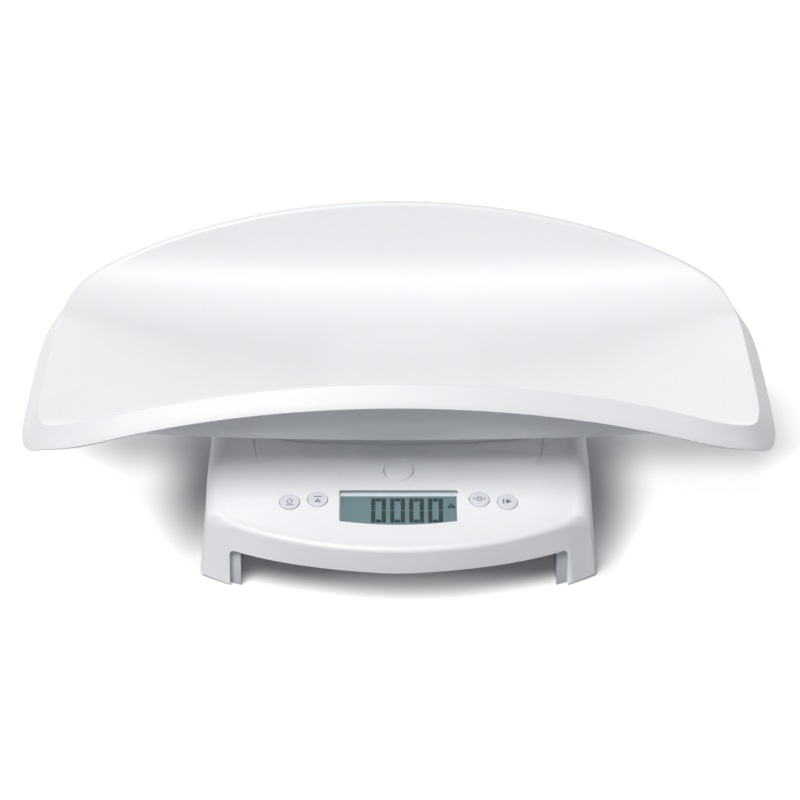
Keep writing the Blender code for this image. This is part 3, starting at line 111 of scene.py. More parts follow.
WINDOW_HALF_WIDTH = 0.0432
WINDOW_REAR_Y = -0.1012
WINDOW_FRONT_Y = -0.1345
WINDOW_RECESS = 0.0010
WINDOW_THICKNESS = 0.0016
WINDOW_LEDGE = 0.0008
WINDOW_CORNER = 0.0014
WINDOW_CORNER_RISE = 0.0030
WINDOW_BOW = 0.0040
RECESS_PAINTED_SHADE_BAND = (-0.0012, 0.0003)     # painted shade beside the window's rear edge
# depths of the painted shade in the window's recess
RECESS_PAINTED_SHADE_DEPTHS = (-0.0048, -0.0002)
LCD_DEPTH = 0.0031
LCD_THICKNESS = 0.0010
LCD_FRONT = -0.0152
LCD_REAR = 0.0137
LCD_LEDGE_REAR = 0.0165
DIGITS_AT = (-0.0146, -0.0009)
WEIGHT_MARK_AT = (0.0385, 0.0036)
INK = 0.00006

GROOVE_FRONT = (0.1040, -0.0805)
GROOVE_REAR = (0.1095, -0.0300)
GROOVE_WIDTH = 0.0014
GROOVE_DEPTH = 0.0012
LEG_PLACES = [(-0.1255, -0.0916), (0.1255, -0.0916), (-0.1255, 0.0982), (0.1255, 0.0982)]
FOOT_RADIUS = 0.0075
FOOT_HOLE_RADIUS = 0.0082
CUP_SHOULDER = 0.0022
HOUSING_SCREWS = [(-0.1000, -0.0480), (0.1000, -0.0480), (-0.1000, 0.1000), (0.1000, 0.1000)]
TRAY_SCREWS = [(-0.0700, -0.0250), (0.0700, -0.0250), (-0.0700, 0.0500), (0.0700, 0.0500)]
SCREW_RADIUS = 0.0014
SCREW_HOLE_RADIUS = 0.0017
SCREW_HEAD_RADIUS = 0.0029
SCREW_HEAD = 0.0018
SCREW_ANGLES = (17.0, 64.0, 118.0, 41.0)

TRAY_FLOOR_Z = 0.1020
TRAY_FLOOR_FRONT = 0.0810
TRAY_FLOOR_REAR = 0.0845
TRAY_BACK_RADIUS = 0.0625
TRAY_BACK_SLOPE = math.radians(70)
TRAY_FRONT_RADIUS = 0.0300
TRAY_FRONT_SLOPE = math.radians(76)
TRAY_END_LIFT = 0.0105
TRAY_WALL = 0.0026
SHEET_HALF_WIDTH = 0.2650
SHEET_REAR = 0.1955
SHEET_FRONT = 0.1585
SHEET_REAR_RADIUS = 0.5035
SHEET_FRONT_RADIUS = 0.5783
SHEET = (SHEET_HALF_WIDTH, SHEET_FRONT, SHEET_REAR, SHEET_FRONT_RADIUS, SHEET_REAR_RADIUS, (22, 18))
RIM_EDGE_ROLL = 0.0028
RIM_ROLL = 0.0034
RIM_WALL_SLOPES = (0.35, 1.20)
RIM_BACK_ROLL = 0.0042
RIM_DROP = 0.0162
RIM_SIDE_DROP = 0.0205
RIM_BACK_DROP = 0.0030
RIM_SLOPE = math.radians(50)
RIM_SIDE_SLOPE = math.radians(58)
RIM_BACK_SLOPE = math.radians(84)
RIM_SIDE_FACING = (0.45, 0.95)
RIM_BACK_SPAN = (0.0980, 0.1300)
RIM_CRISP = 0.0011
ROLL_STEPS = 10
DROP_STEPS = 3
LIP = 0.0009

PEDESTAL = (0.0970, 0.0520, 0.0760, 0.700, 0.900)
PEDESTAL_CORNERS = (12, 12)
PEDESTAL_WALL = 0.0025
PEDESTAL_WEB_Z = 0.0900
PEDESTAL_WEB = 0.0025
PEDESTAL_EDGE = 0.0010
WEB_SCREW_ROOM = 0.004
SLOT_GAP = 0.0010
CATCH_HALF_WIDTH = 0.0080
CATCH_FRONT = -0.0464
CATCH_REAR = -0.0419
CATCH_LOW_Z = 0.0530
NOTCH_REAR = -0.0446
NOTCH_Z = (0.0575, 0.0630)
TAB_MIDDLE = 0.0550
TAB_HALF_WIDTH = 0.0070
TAB_FRONT = 0.0560
TAB_REAR = 0.0590
TAB_REACH = 0.0110

# Colours and light
LCD_MIDDLE = (0.155, 0.245, 0.262)
# painted shade: the LCD's colour at its ends
LCD_END_PAINTED_SHADE = (0.120, 0.200, 0.217)
FLOOR_SEEN = (0.93, 0.93, 0.93)
FLOOR_BOUNCE = (0.25, 0.26, 0.28)
FLOOR_RADIUS = 6.0
FLOOR_LIFT = 0.012        # the floor's own light, painted light that lightens the scale's shadow, more of it beside and behind the scale
FLOOR_SIDE = (0.150, 0.205)
FLOOR_SIDE_LIFT = 0.26
FLOOR_FORWARD = (-0.090, -0.020)
FLOOR_FORWARD_LIFT = 0.50
FLOOR_CLOSE = (0.106, 0.140)
FLOOR_CLOSE_LIFT = 0.25
FLOOR_BEHIND = (0.150, 0.300)
FLOOR_BEHIND_LIFT = 0.30
WORLD_SHADE = (0.190, 0.200, 0.215)
BACKDROP = (1, 1, 1)
CAMERA_PLACE = (0.001, -2.03456, 1.1659)
CAMERA_TILT = math.radians(62)
CAMERA_LENS = 136.75


# Node sums
def operator_of(operation, swapped=False):
    """A Python operator that adds a maths node."""
    def method(value, other):
        return reckon(operation, *((other, value) if swapped else (value, other)))
    return method


class Value:
    """A number worked out in a node tree, so that sums can be written plainly."""

    def __init__(self, source):
        self.socket = source.outputs[0] if isinstance(source, bpy.types.Node) else source

    def __neg__(self):
        return self * -1.0

    __add__ = operator_of("ADD")
    __radd__ = operator_of("ADD", True)
    __sub__ = operator_of("SUBTRACT")
    __rsub__ = operator_of("SUBTRACT", True)
    __mul__ = operator_of("MULTIPLY")
    __rmul__ = operator_of("MULTIPLY", True)
    __truediv__ = operator_of("DIVIDE")


def feed(socket, value):
    """Puts a number, a value, another socket or a node's first result into a socket."""
    if isinstance(value, bpy.types.Node):
        value = value.outputs[0]
    elif isinstance(value, Value):
        value = value.socket
    if isinstance(value, bpy.types.NodeSocket):
        socket.id_data.links.new(value, socket)
    else:
        socket.default_value = value


def add_node(tree, kind, settings=None, **inputs):
    """A node with its settings and its named inputs filled in."""
    node = tree.nodes.new(kind)
    for name, value in (settings or {}).items():
        setattr(node, name, value)
    for name, value in inputs.items():
        feed(node.inputs[name.replace("_", " ")], value)
    return node


def reckon(operation, *terms):
    tree = next(term.socket.id_data for term in terms if isinstance(term, Value))
    node = add_node(tree, "ShaderNodeMath", {"operation": operation})
    for socket, term in zip(node.inputs, terms):
        feed(socket, term)
    return Value(node)


def eased(value, start, full):
    """0 before the start, 1 past the full value, smooth between."""
    return Value(add_node(value.socket.id_data, "ShaderNodeMapRange", {"interpolation_type": "SMOOTHSTEP"},
                          Value=value, From_Min=start, From_Max=full))


def split(tree, place):
    return [Value(part) for part in add_node(tree, "ShaderNodeSeparateXYZ", Vector=place).outputs]


def vector(tree, **parts):
    return add_node(tree, "ShaderNodeCombineXYZ", **parts)


# Surfaces
def object_place(tree):
    return tree.nodes.new("ShaderNodeTexCoord").outputs["Object"]


def noise(tree, place, scale, detail, rough=0.5):
    return Value(add_node(tree, "ShaderNodeTexNoise", Vector=place, Scale=scale, Detail=detail,
                          Roughness=rough))


def mix_colours(tree, share, first, second):
    node = add_node(tree, "ShaderNodeMix", {"data_type": "RGBA"})
    for socket, value in zip((0, 6, 7), (share, (*first, 1), (*second, 1))):
        feed(node.inputs[socket], value)
    return node.outputs[2]


def surface_group(name, takes, work_out):
    """A shader group of named inputs that gives a shaded colour, a roughness and a height."""
    group = bpy.data.node_groups.new(name, "ShaderNodeTree")
    for title, (kind, value) in takes.items():
        socket = group.interface.new_socket(title, in_out="INPUT", socket_type=f"NodeSocket{kind}")
        socket.default_value = value
    for title, kind in (("Colour", "Color"), ("Roughness", "Float"), ("Height", "Float")):
        group.interface.new_socket(title, in_out="OUTPUT", socket_type=f"NodeSocket{kind}")
    start = group.nodes.new("NodeGroupInput").outputs
    end = group.nodes.new("NodeGroupOutput").inputs
    taken = {title: Value(start[title]) for title in takes}
    shade, roughness, height = work_out(group, object_place(group), taken)
    tinted = add_node(group, "ShaderNodeVectorMath", {"operation": "SCALE"}, Scale=shade)
    feed(tinted.inputs[0], taken["Colour"])
    for title, value in (("Colour", tinted), ("Roughness", roughness), ("Height", height)):
        feed(end[title], value)
    return group


def moulded(group, place, taken):
    """Moulded plastic: a hair of colour drift, fine spark-eroded grain, and handling haze in the gloss."""
    shade = (noise(group, place, scale=9.0, detail=3.0, rough=0.55) - 0.5) * taken["Drift"] * 2.0 + 1.0
    smear = add_node(group, "ShaderNodeMapping", Vector=place, Scale=(14.0, 34.0, 20.0))
    veil = noise(group, smear, scale=1.0, detail=6.0, rough=0.6) - 0.5
    grain = noise(group, place, scale=taken["Grain Scale"], detail=2.0, rough=0.6)
    return shade, veil * taken["Haze"] * 2.0 + taken["Roughness"], grain


def drawn(group, place, taken):
    """Stamped or drawn metal: streaks along one direction and a few darker spots."""
    along = add_node(group, "ShaderNodeMapping", Vector=place, Scale=taken["Stretch"])
    streak = noise(group, along, scale=1.0, detail=4.0, rough=0.7)
    spots = noise(group, place, scale=300.0, detail=2.0)
    return streak * 0.3 + 0.7 + spots * 0.2, streak * 0.2 + taken["Roughness"], streak


def new_material(name):
    made = bpy.data.materials.new(name)
    made.use_nodes = True
    return made, made.node_tree, made.node_tree.nodes["Principled BSDF"].inputs


def add_grain(tree, shader, height, depth, strength):
    bump = add_node(tree, "ShaderNodeBump", Height=height, Distance=depth, Strength=strength)
    feed(shader["Normal"], bump)


def surfaced(name, group, depth, strength, **values):
    """A material whose colour, roughness and grain come from a shared surface group."""
    made, tree, shader = new_material(name)
    surface = add_node(tree, "ShaderNodeGroup", {"node_tree": group}, **values).outputs
    feed(shader["Base Color"], surface["Colour"])
    feed(shader["Roughness"], surface["Roughness"])
    add_grain(tree, shader, surface["Height"], depth, strength)
    return made, shader


def plastic(name, group, colour, roughness, drift=0.015, grain=900.0, depth=0.00002, strength=0.25,
            coat=0.0):
    made, shader = surfaced(name, group, depth, strength, Colour=(*colour, 1), Drift=drift,
                            Grain_Scale=grain, Roughness=roughness)
    shader["Coat Weight"].default_value = coat
    return made


def metal(name, group, colour, roughness, stretch):
    made, shader = surfaced(name, group, 0.00001, 0.3, Colour=(*colour, 1), Stretch=stretch,
                            Roughness=roughness)
    shader["Metallic"].default_value = 1.0
    return made


def make_window_material():
    """Clear hard lens: nearly all see-through, with a faint veil and wiping marks in its gloss."""
    made, tree, shader = new_material("window_lens")
    wipe = noise(tree, object_place(tree), scale=70.0, detail=5.0, rough=0.6)
    shader["Base Color"].default_value = (0.45, 0.52, 0.54, 1)
    feed(shader["Roughness"], wipe * 0.08 + 0.03)
    feed(shader["Alpha"], wipe * 0.03 + 0.02)
    return made


def make_lcd_material():
    """Grey-green polariser over the liquid crystal, with painted shade making it a little darker towards its
    ends.
    """
    made, tree, shader = new_material("lcd_polariser")
    place = object_place(tree)
    # painted shade, darker towards the ends of the LCD
    shade = eased(reckon("ABSOLUTE", split(tree, place)[0]), 0.060, 0.020)
    cells = noise(tree, place, scale=35.0, detail=2.0)
    feed(shader["Base Color"], mix_colours(tree, shade * 0.8 + cells * 0.2, LCD_END_PAINTED_SHADE, LCD_MIDDLE))
    feed(shader["Roughness"], noise(tree, place, scale=2500.0, detail=1.0) * 0.1 + 0.28)
    return made


def make_board_material():
    """Green solder mask with paler tracks under it."""
    made, tree, shader = new_material("solder_mask")
    tracks = add_node(tree, "ShaderNodeTexBrick", {"offset": 0.37, "squash": 0.6}, Vector=object_place(tree),
                      Scale=55.0, Mortar_Size=0.03, Color1=(0.010, 0.105, 0.045, 1),
                      Color2=(0.014, 0.125, 0.055, 1), Mortar=(0.030, 0.210, 0.095, 1)).outputs
    feed(shader["Base Color"], tracks["Color"])
    feed(shader["Roughness"], Value(tracks["Fac"]) * 0.15 + 0.32)
    add_grain(tree, shader, tracks["Fac"], 0.00003, 0.4)
    return made


def make_finishes():
    skin = surface_group(
        "moulded_surface",
        {"Colour": ("Color", (0.8, 0.8, 0.8, 1)), "Drift": ("Float", 0.02), "Grain Scale": ("Float", 900.0),
         "Roughness": ("Float", 0.35), "Haze": ("Float", 0.05)}, moulded)
    steel = surface_group(
        "drawn_metal",
        {"Colour": ("Color", (0.6, 0.6, 0.6, 1)), "Stretch": ("Vector", (400.0, 30.0, 400.0)),
         "Roughness": ("Float", 0.3)}, drawn)
    return {
        "white": plastic("housing_plastic", skin, (0.850, 0.855, 0.862), 0.42),
        "tray": plastic("tray_plastic", skin, (0.800, 0.804, 0.812), 0.40, grain=700.0),
        "lower": plastic("lower_housing_plastic", skin, (0.620, 0.640, 0.665), 0.46, grain=1100.0,
                         strength=0.4),
        "key": plastic("key_plastic", skin, (0.700, 0.705, 0.745), 0.34, drift=0.02, grain=1600.0),
        "inner": plastic("inner_plastic", skin, (0.055, 0.058, 0.064), 0.50, drift=0.08),
        "frame": plastic("display_frame", skin, (0.60, 0.66, 0.70), 0.40),
        # painted shade for the window recess's rear wall: a grey plastic put in place of shade
        "recess_painted_shade": plastic("window_recess_painted_shade", skin, (0.30, 0.34, 0.36), 0.50, drift=0.05),
        "rubber": plastic("foot_rubber", skin, (0.045, 0.045, 0.048), 0.78, drift=0.25, grain=1400.0,
                          depth=0.00005, strength=0.7),
        "switch": plastic("switch_body", skin, (0.030, 0.030, 0.034), 0.45, drift=0.2),
        "wrap": plastic("battery_wrap", skin, (0.020, 0.045, 0.110), 0.28, drift=0.1, coat=0.3),
        "wrap_top": plastic("battery_wrap_top", skin, (0.420, 0.200, 0.075), 0.28, drift=0.1, coat=0.3),
        "lead": plastic("lead_sheath", skin, (0.300, 0.022, 0.020), 0.45, drift=0.15, grain=2000.0),
        "ink": plastic("legend_ink", skin, (0.140, 0.145, 0.175), 0.50, drift=0.1),
        "digit": plastic("lcd_segment", skin, (0.000, 0.016, 0.020), 0.45, drift=0.1),
        "ledge": plastic("lcd_ledge", skin, (0.760, 0.860, 0.900), 0.30, drift=0.02),
        "window": make_window_material(),
        "lcd": make_lcd_material(),
        "board": make_board_material(),
        "spring": metal("spring_steel", steel, (0.62, 0.63, 0.65), 0.22, (400.0, 30.0, 400.0)),
        "cell": metal("cell_alloy", steel, (0.55, 0.56, 0.58), 0.30, (900.0, 40.0, 900.0)),
        "screw": metal("screw_steel", steel, (0.46, 0.47, 0.49), 0.26, (500.0, 500.0, 60.0)),
        "cap": metal("battery_cap", steel, (0.66, 0.65, 0.62), 0.20, (300.0, 300.0, 300.0)),
    }


# Mesh helpers
def at(x, y, z=0.0):
    return Matrix.Translation((x, y, z))


def show(name, mesh, *materials):
    made = bpy.data.objects.new(name, mesh)
    bpy.context.scene.collection.objects.link(made)
    for material in materials:
        mesh.materials.append(material)
    return made


def from_bmesh(name, shape, *materials, face_out=True):
    if face_out:
        bmesh.ops.recalc_face_normals(shape, faces=shape.faces)
    mesh = bpy.data.meshes.new(name)
    shape.to_mesh(mesh)
    shape.free()
    return show(name, mesh, *materials)


def settle(made, angle=0.0):
    """Turns modifiers into plain mesh, moves the place into the mesh, and shades it smooth up to an angle."""
    bpy.context.view_layer.update()
    seen = made.evaluated_get(bpy.context.evaluated_depsgraph_get())
    mesh = bpy.data.meshes.new_from_object(seen)
    mesh.name = made.name
    made.modifiers.clear()
    made.data = mesh
    mesh.transform(made.matrix_world)
    made.matrix_world = Matrix.Identity(4)
    if angle:
        mesh.shade_smooth()
        mesh.set_sharp_from_angle(angle=math.radians(angle))
    return made


def coat(made, material):
    made.data.materials.clear()
    made.data.materials.append(material)
    return made


def fit(made, body, slot, *nodes):
    """Puts a finished piece on its body, in place of the CAD nodes it stands for."""
    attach(made, body)
    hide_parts(*nodes)


def fit_centred(made, body, slot, *nodes):
    """The same for a piece made with the source's Y values."""
    made.data.transform(CENTRING)
    fit(made, body, slot, *nodes)


def block(name, low, high, place=None):
    shape = bmesh.new()
    bmesh.ops.create_cube(shape, size=1)
    low, high = Vector(low), Vector(high)
    bmesh.ops.scale(shape, vec=high - low, verts=shape.verts)
    bmesh.ops.translate(shape, vec=(high + low) / 2, verts=shape.verts)
    made = from_bmesh(name, shape)
    made.matrix_world = place or Matrix.Identity(4)
    return made


def turned(name, profile, place, sides=64):
    """A profile of (radius, height) pairs, top to bottom, turned round Z."""
    shape = bmesh.new()
    line = [shape.verts.new((radius, 0, height)) for radius, height in profile]
    for low, high in zip(line, line[1:]):
        shape.edges.new((low, high))
    bmesh.ops.spin(shape, geom=shape.verts[:] + shape.edges[:], axis=(0, 0, 1), cent=(0, 0, 0),
                   angle=2 * math.pi, steps=sides, use_merge=True)
    bmesh.ops.remove_doubles(shape, verts=shape.verts, dist=0.000005)
    made = from_bmesh(name, shape)
    made.matrix_world = place
    return made


def cut(made, tool, operation="DIFFERENCE"):
    """A Boolean that is worked out at once, after which its cutter goes."""
    change = made.modifiers.new(tool.name, "BOOLEAN")
    change.operation = operation
    change.solver = "EXACT"
    change.object = tool
    settle(made)
    bpy.data.objects.remove(tool, do_unlink=True)


def soften(made, width, segments=2, angle=50.0):
    edges = made.modifiers.new("edges", "BEVEL")
    edges.width = width
    edges.segments = segments
    edges.limit_method = "ANGLE"
    edges.angle_limit = math.radians(angle)


def give_wall(made, thickness, group=""):
    wall = made.modifiers.new("wall", "SOLIDIFY")
    wall.thickness = thickness
    wall.vertex_group = group
    wall.offset = -1
    wall.use_even_offset = True


def drill(made, radius, low, high, places, sides=24):
    """Round holes straight up into a piece."""
    for x, y in places:
        cut(made, turned("hole", [(0, high), (radius, high), (radius, low), (0, low)], at(x, y), sides))


def merged(name, *pieces):
    """Several pieces as one mesh; each keeps its own materials."""
    shape = bmesh.new()
    materials = []
    for piece in pieces:
        piece.data.transform(piece.matrix_world)
        slots = []
        for material in piece.data.materials:
            if material not in materials:
                materials.append(material)
            slots.append(materials.index(material))
        first = len(shape.faces)
        shape.from_mesh(piece.data)
        shape.faces.ensure_lookup_table()
        for face in shape.faces[first:]:
            face.material_index = slots[face.material_index]
        bpy.data.objects.remove(piece, do_unlink=True)
    return from_bmesh(name, shape, *materials, face_out=False)


# The scale's own outlines, as in the CAD source
def outline_reach(angle, half_width, front, rear, front_radius, rear_radius, powers):
    """Distance from the middle to an outline of two straight sides and two bowed ends, softly joined."""
    along = math.sin(angle)
    power = powers[0] if along < 0 else powers[1]
    reaches = [half_width / max(abs(math.cos(angle)), GAP)]
    for centre, radius in ((rear - rear_radius, rear_radius), (front_radius - front, front_radius)):
        dot = along * centre
        reaches.append(dot + math.sqrt(dot * dot - centre * centre + radius * radius))
    nearest = min(reaches)
    return nearest * sum((nearest / reach) ** power for reach in reaches) ** (-1 / power)


def outline_run(shape, start, end, count):
    """Points of an outline from one angle to another, both included, closer where it turns."""
    fine = count * OUTLINE_FINENESS
    points = []
    for i in range(fine + 1):
        angle = start + (end - start) * i / fine
        reach = outline_reach(angle, *shape)
        points.append(Vector((reach * math.cos(angle), reach * math.sin(angle))))
    lengths = [0.0]
    heading = points[1] - points[0]
    for before, after in zip(points, points[1:]):
        step = after - before
        lengths.append(lengths[-1] + step.length + CORNER_WEIGHT * heading.angle(step))
        heading = step
    chosen = []
    place = 0
    for i in range(count + 1):
        target = lengths[-1] * i / count
        while place < fine - 1 and lengths[place + 1] < target:
            place += 1
        share = (target - lengths[place]) / (lengths[place + 1] - lengths[place])
        chosen.append(points[place].lerp(points[place + 1], share))
    return chosen


def outline_loop(shape, count):
    return outline_run(shape, 0.0, 2 * math.pi, count)[:-1]


def spread(reach, steps):
    """Evenly spaced places from one side to the other."""
    return [reach * (2 * i / steps - 1) for i in range(steps + 1)]


def patch(bottom, top, left, right):
    """Rows of points that fill the space between four edge runs."""
    rows = []
    for j, (start, end) in enumerate(zip(left, right)):
        v = j / (len(left) - 1)
        row = []
        for i, (low, high) in enumerate(zip(bottom, top)):
            u = i / (len(bottom) - 1)
            corners = bottom[0].lerp(bottom[-1], u).lerp(top[0].lerp(top[-1], u), v)
            row.append(low.lerp(high, v) + start.lerp(end, u) - corners)
        rows.append(row)
    return rows


def arc_corner(reach, radius, half_width):
    """How far along Y a bowed end meets the straight sides."""
    return reach - radius + math.sqrt(radius ** 2 - half_width ** 2)


def sheet_rows(shape, rails, counts, columns):
    """Grid rows over an outline, with rows lying on the rails (Y at the side, Y at any X)."""
    half_width, front, rear, front_radius, rear_radius, _powers = shape
    ends = (-arc_corner(front, front_radius, half_width), arc_corner(rear, rear_radius, half_width))
    stops = [math.atan2(y, half_width) for y in (ends[0], *(rail[0] for rail in rails), ends[1])]
    bottom = outline_run(shape, -math.pi - stops[0], stops[0], columns)
    rows = []
    for k, count in enumerate(counts):
        right = outline_run(shape, stops[k], stops[k + 1], count)
        left = [Vector((-p.x, p.y)) for p in right]
        if k < len(rails):
            top = [Vector((x, rails[k][1](x, right[-1]))) for x in spread(right[-1].x, columns)]
        else:
            top = outline_run(shape, math.pi - stops[-1], stops[-1], columns)
        piece = patch(bottom, top, left, right)
        rows.extend(piece if not rows else piece[1:])
        bottom = top
    return rows


def perimeter(rows):
    """The outer ring of a grid, anticlockwise seen from above."""
    right = [row[-1] for row in rows[1:]]
    left = [row[0] for row in reversed(rows[1:-1])]
    return rows[0] + right + rows[-1][-2::-1] + left


def ring_normals(ring):
    """Outward directions of a ring's points, seen from above."""
    steps = [after - before for before, after in zip(ring[-1:] + ring[:-1], ring[1:] + ring[:1])]
    return [Vector((step.y, -step.x)).normalized() for step in steps]


def join_rings(shape, inner, outer):
    """A band of faces between two rings of corners."""
    for corners in zip(inner, outer, outer[1:] + outer[:1], inner[1:] + inner[:1]):
        shape.faces.new(corners)


def open_sheet(name, rows, rings, material):
    """A grid of points whose border carries on through rings of points, as one open surface."""
    shape = bmesh.new()
    grid = [[shape.verts.new(point) for point in row] for row in rows]
    for low, high in zip(grid, grid[1:]):
        for corners in zip(low, low[1:], high[1:], high):
            shape.faces.new(corners)
    inner = perimeter(grid)
    for ring in rings:
        outer = [shape.verts.new(point) for point in ring]
        join_rings(shape, inner, outer)
        inner = outer
    return from_bmesh(name, shape, material, face_out=False)


def lifted(loop, height):
    return [Vector((p.x, p.y, height)) for p in loop]


def loft(name, *loops):
    """A closed solid through loops of equal length, capped at both ends."""
    shape = bmesh.new()
    rings = [[shape.verts.new(point) for point in loop] for loop in loops]
    for low, high in zip(rings, rings[1:]):
        join_rings(shape, high, low)
    bmesh.ops.triangulate(shape, faces=shape.faces)
    shape.faces.new(rings[0][::-1])
    shape.faces.new(rings[-1])
    return from_bmesh(name, shape)


def ease(value, start, full):
    share = min(max((value - start) / (full - start), 0.0), 1.0)
    return share * share * (3 - 2 * share)


def shoulder_shape():
    """Outline of the base's upper face inside its rounded shoulder."""
    side = SIDE_SHOULDER + LEG_LEAN
    return (BASE_HALF_WIDTH - side, BASE_FRONT - FRONT_SHOULDER, BASE_REAR - side,
            APRON_RADIUS - FRONT_SHOULDER, REAR_RADIUS - side, BASE_CORNERS)


def shoulder_radius(direction):
    return SIDE_SHOULDER + (FRONT_SHOULDER - SIDE_SHOULDER) * ease(-direction.y, *TIGHT_SHOULDER)


def lean_at(point):
    return LEG_LEAN * ease(abs(point.x), *LEAN_SPAN)


def behind_apron(place, out):
    """A place of the skirt's outline, kept behind the drawn-out arc so that the corners stay crisp."""
    arc = APRON_RADIUS - BASE_FRONT - math.sqrt((APRON_RADIUS + out) ** 2 - place.x ** 2)
    return Vector((place.x, max(place.y, arc)))


def panel_rear_y(x):
    x = min(abs(x), PANEL_REAR_HALF)
    return -PANEL_REAR - PANEL_REAR_RADIUS + math.sqrt(PANEL_REAR_RADIUS ** 2 - x * x)


def top_height(x, y):
    """Height of the base's upper face: the sloped panel, then the flat top."""
    front = -BASE_FRONT + APRON_RADIUS - math.sqrt(APRON_RADIUS ** 2 - x * x)
    share = min(max((y - front) / (panel_rear_y(x) - front), 0.0), 1.0)
    return APRON_TOP_Z + (BASE_TOP_Z - APRON_TOP_Z) * share


def panel_place(x, y):
    """A frame on the panel: its origin on the surface, its Z along the outward normal."""
    slope_x = (top_height(x + GAP, y) - top_height(x - GAP, y)) / (2 * GAP)
    slope_y = (top_height(x, y + GAP) - top_height(x, y - GAP)) / (2 * GAP)
    normal = Vector((-slope_x, -slope_y, 1)).normalized()
    side = Vector((1, 0, slope_x)).normalized()
    turn = Matrix((side, normal.cross(side), normal)).transposed().to_4x4()
    return at(x, y, top_height(x, y)) @ turn


# Base
def leg_gaps(half_width, front, rear, top, rounding):
    """A cross-shaped cutter for the openings between the four legs."""
    reach = BASE_FRONT + OVER
    made = block("leg_gaps", (-half_width, -reach, -OVER), (half_width, reach, top))
    cut(made, block("gaps_across", (-reach, -front, -OVER), (reach, rear, top)), "UNION")
    if rounding:
        soften(made, rounding, segments=5, angle=30.0)
        settle(made)
    return made


def hole_cutter(radius, place, chamfer=EDGE):
    """A round cutter along a place's Z, flared at the surface for a broken edge."""
    depth = HOUSING_WALL + OVER
    return turned("hole", [(0, OVER), (radius + chamfer + OVER, OVER), (radius, -chamfer), (radius, -depth),
                           (0, -depth)], place)


def make_upper_housing(finish):
    shape = shoulder_shape()
    panel_rail = (panel_rear_y(shape[0]), lambda x, _side: panel_rear_y(x))
    flat = sheet_rows(shape, [panel_rail], (16, 16), 84)
    rows = [[Vector((p.x, p.y, top_height(p.x, p.y))) for p in row] for row in flat]
    border = perimeter(flat)
    rings = []
    steps = 9
    for k in range(1, steps + 2):
        sine = math.sin(math.pi / 2 * k / steps) if k < steps else 1.0
        ring = []
        for point, normal in zip(border, ring_normals(border)):
            radius = shoulder_radius(normal)
            lean = lean_at(point) if k > steps else 0.0
            place = behind_apron(point + normal * (radius * sine + lean), FRONT_SHOULDER * (sine - 1) + lean)
            fall = radius * (1 - math.cos(math.pi / 2 * k / steps))
            height = top_height(point.x, point.y) - fall if k <= steps else LEG_FOOT_Z
            ring.append(place.to_3d() + Vector((0, 0, height)))
        rings.append(ring)
    made = open_sheet("upper_housing_shell", rows, rings, finish["white"])
    give_wall(made, HOUSING_WALL)
    settle(made)
    cut(made, leg_gaps(ARCH_HALF_WIDTH, ARCH_FRONT, ARCH_REAR, ARCH_TOP_Z, ARCH_ROUNDING))
    half_y = window_half_y()
    cut(made, window_cutter(WINDOW_HALF_WIDTH, half_y, WINDOW_RECESS + WINDOW_THICKNESS + GAP, GAP))
    cut(made, window_cutter(WINDOW_HALF_WIDTH - WINDOW_LEDGE, half_y - WINDOW_LEDGE, HOUSING_WALL + 2 * OVER))
    for x, y in KEY_PLACES.values():
        cut(made, hole_cutter(KEY_RADIUS + RUN_GAP, panel_place(x, y)))
    cut(made, hole_cutter(RELEASE_RADIUS + RUN_GAP, panel_place(0.0, RELEASE_Y), RELEASE_CHAMFER))
    high = BASE_TOP_Z + OVER
    low = BASE_TOP_Z - HOUSING_WALL - OVER
    half_width = CATCH_HALF_WIDTH + SLOT_GAP
    cut(made, block("catch_slot", (-half_width, CATCH_FRONT - SLOT_GAP, low),
                    (half_width, CATCH_REAR + SLOT_GAP, high)))
    for side in (-1, 1):
        middle = side * TAB_MIDDLE
        half_width = TAB_HALF_WIDTH + SLOT_GAP
        cut(made, block("tab_slot", (middle - half_width, TAB_FRONT - SLOT_GAP, low),
                        (middle + half_width, TAB_REAR + SLOT_GAP, high)))
        start = Vector((side * GROOVE_FRONT[0], GROOVE_FRONT[1], 0))
        run = Vector((side * GROOVE_REAR[0], GROOVE_REAR[1], 0)) - start
        turn = Matrix.Rotation(math.atan2(run.y, run.x), 4, "Z")
        cut(made, block("groove", (0, -GROOVE_WIDTH / 2, BASE_TOP_Z - GROOVE_DEPTH),
                        (run.length, GROOVE_WIDTH / 2, high), Matrix.Translation(start) @ turn))
    soften(made, EDGE)
    settle(made, 40)
    # painted shade on the rear wall and step of the window's recess
    paint_recess_shade(made, finish["recess_painted_shade"])
    fit_centred(made, "base", "white_plastic", "upper_housing")


def paint_recess_shade(made, recess_painted_shade):
    """Painted shade: a grey band on the rear wall and step of the window's recess, standing in for the shade
    there.
    """
    made.data.materials.append(recess_painted_shade)
    back = window_place().inverted()
    for face in made.data.polygons:
        x, y, z = back @ face.center
        beside = RECESS_PAINTED_SHADE_BAND[0] < y - window_half_y() < RECESS_PAINTED_SHADE_BAND[1]
        if beside and abs(x) < WINDOW_HALF_WIDTH + GAP and RECESS_PAINTED_SHADE_DEPTHS[0] < z < RECESS_PAINTED_SHADE_DEPTHS[1]:
            face.material_index = 1


def window_place():
    return panel_place(0.0, (WINDOW_REAR_Y + WINDOW_FRONT_Y) / 2)


def window_half_y():
    rise = top_height(0.0, WINDOW_REAR_Y) - top_height(0.0, WINDOW_FRONT_Y)
    return math.hypot(WINDOW_REAR_Y - WINDOW_FRONT_Y, rise) / 2


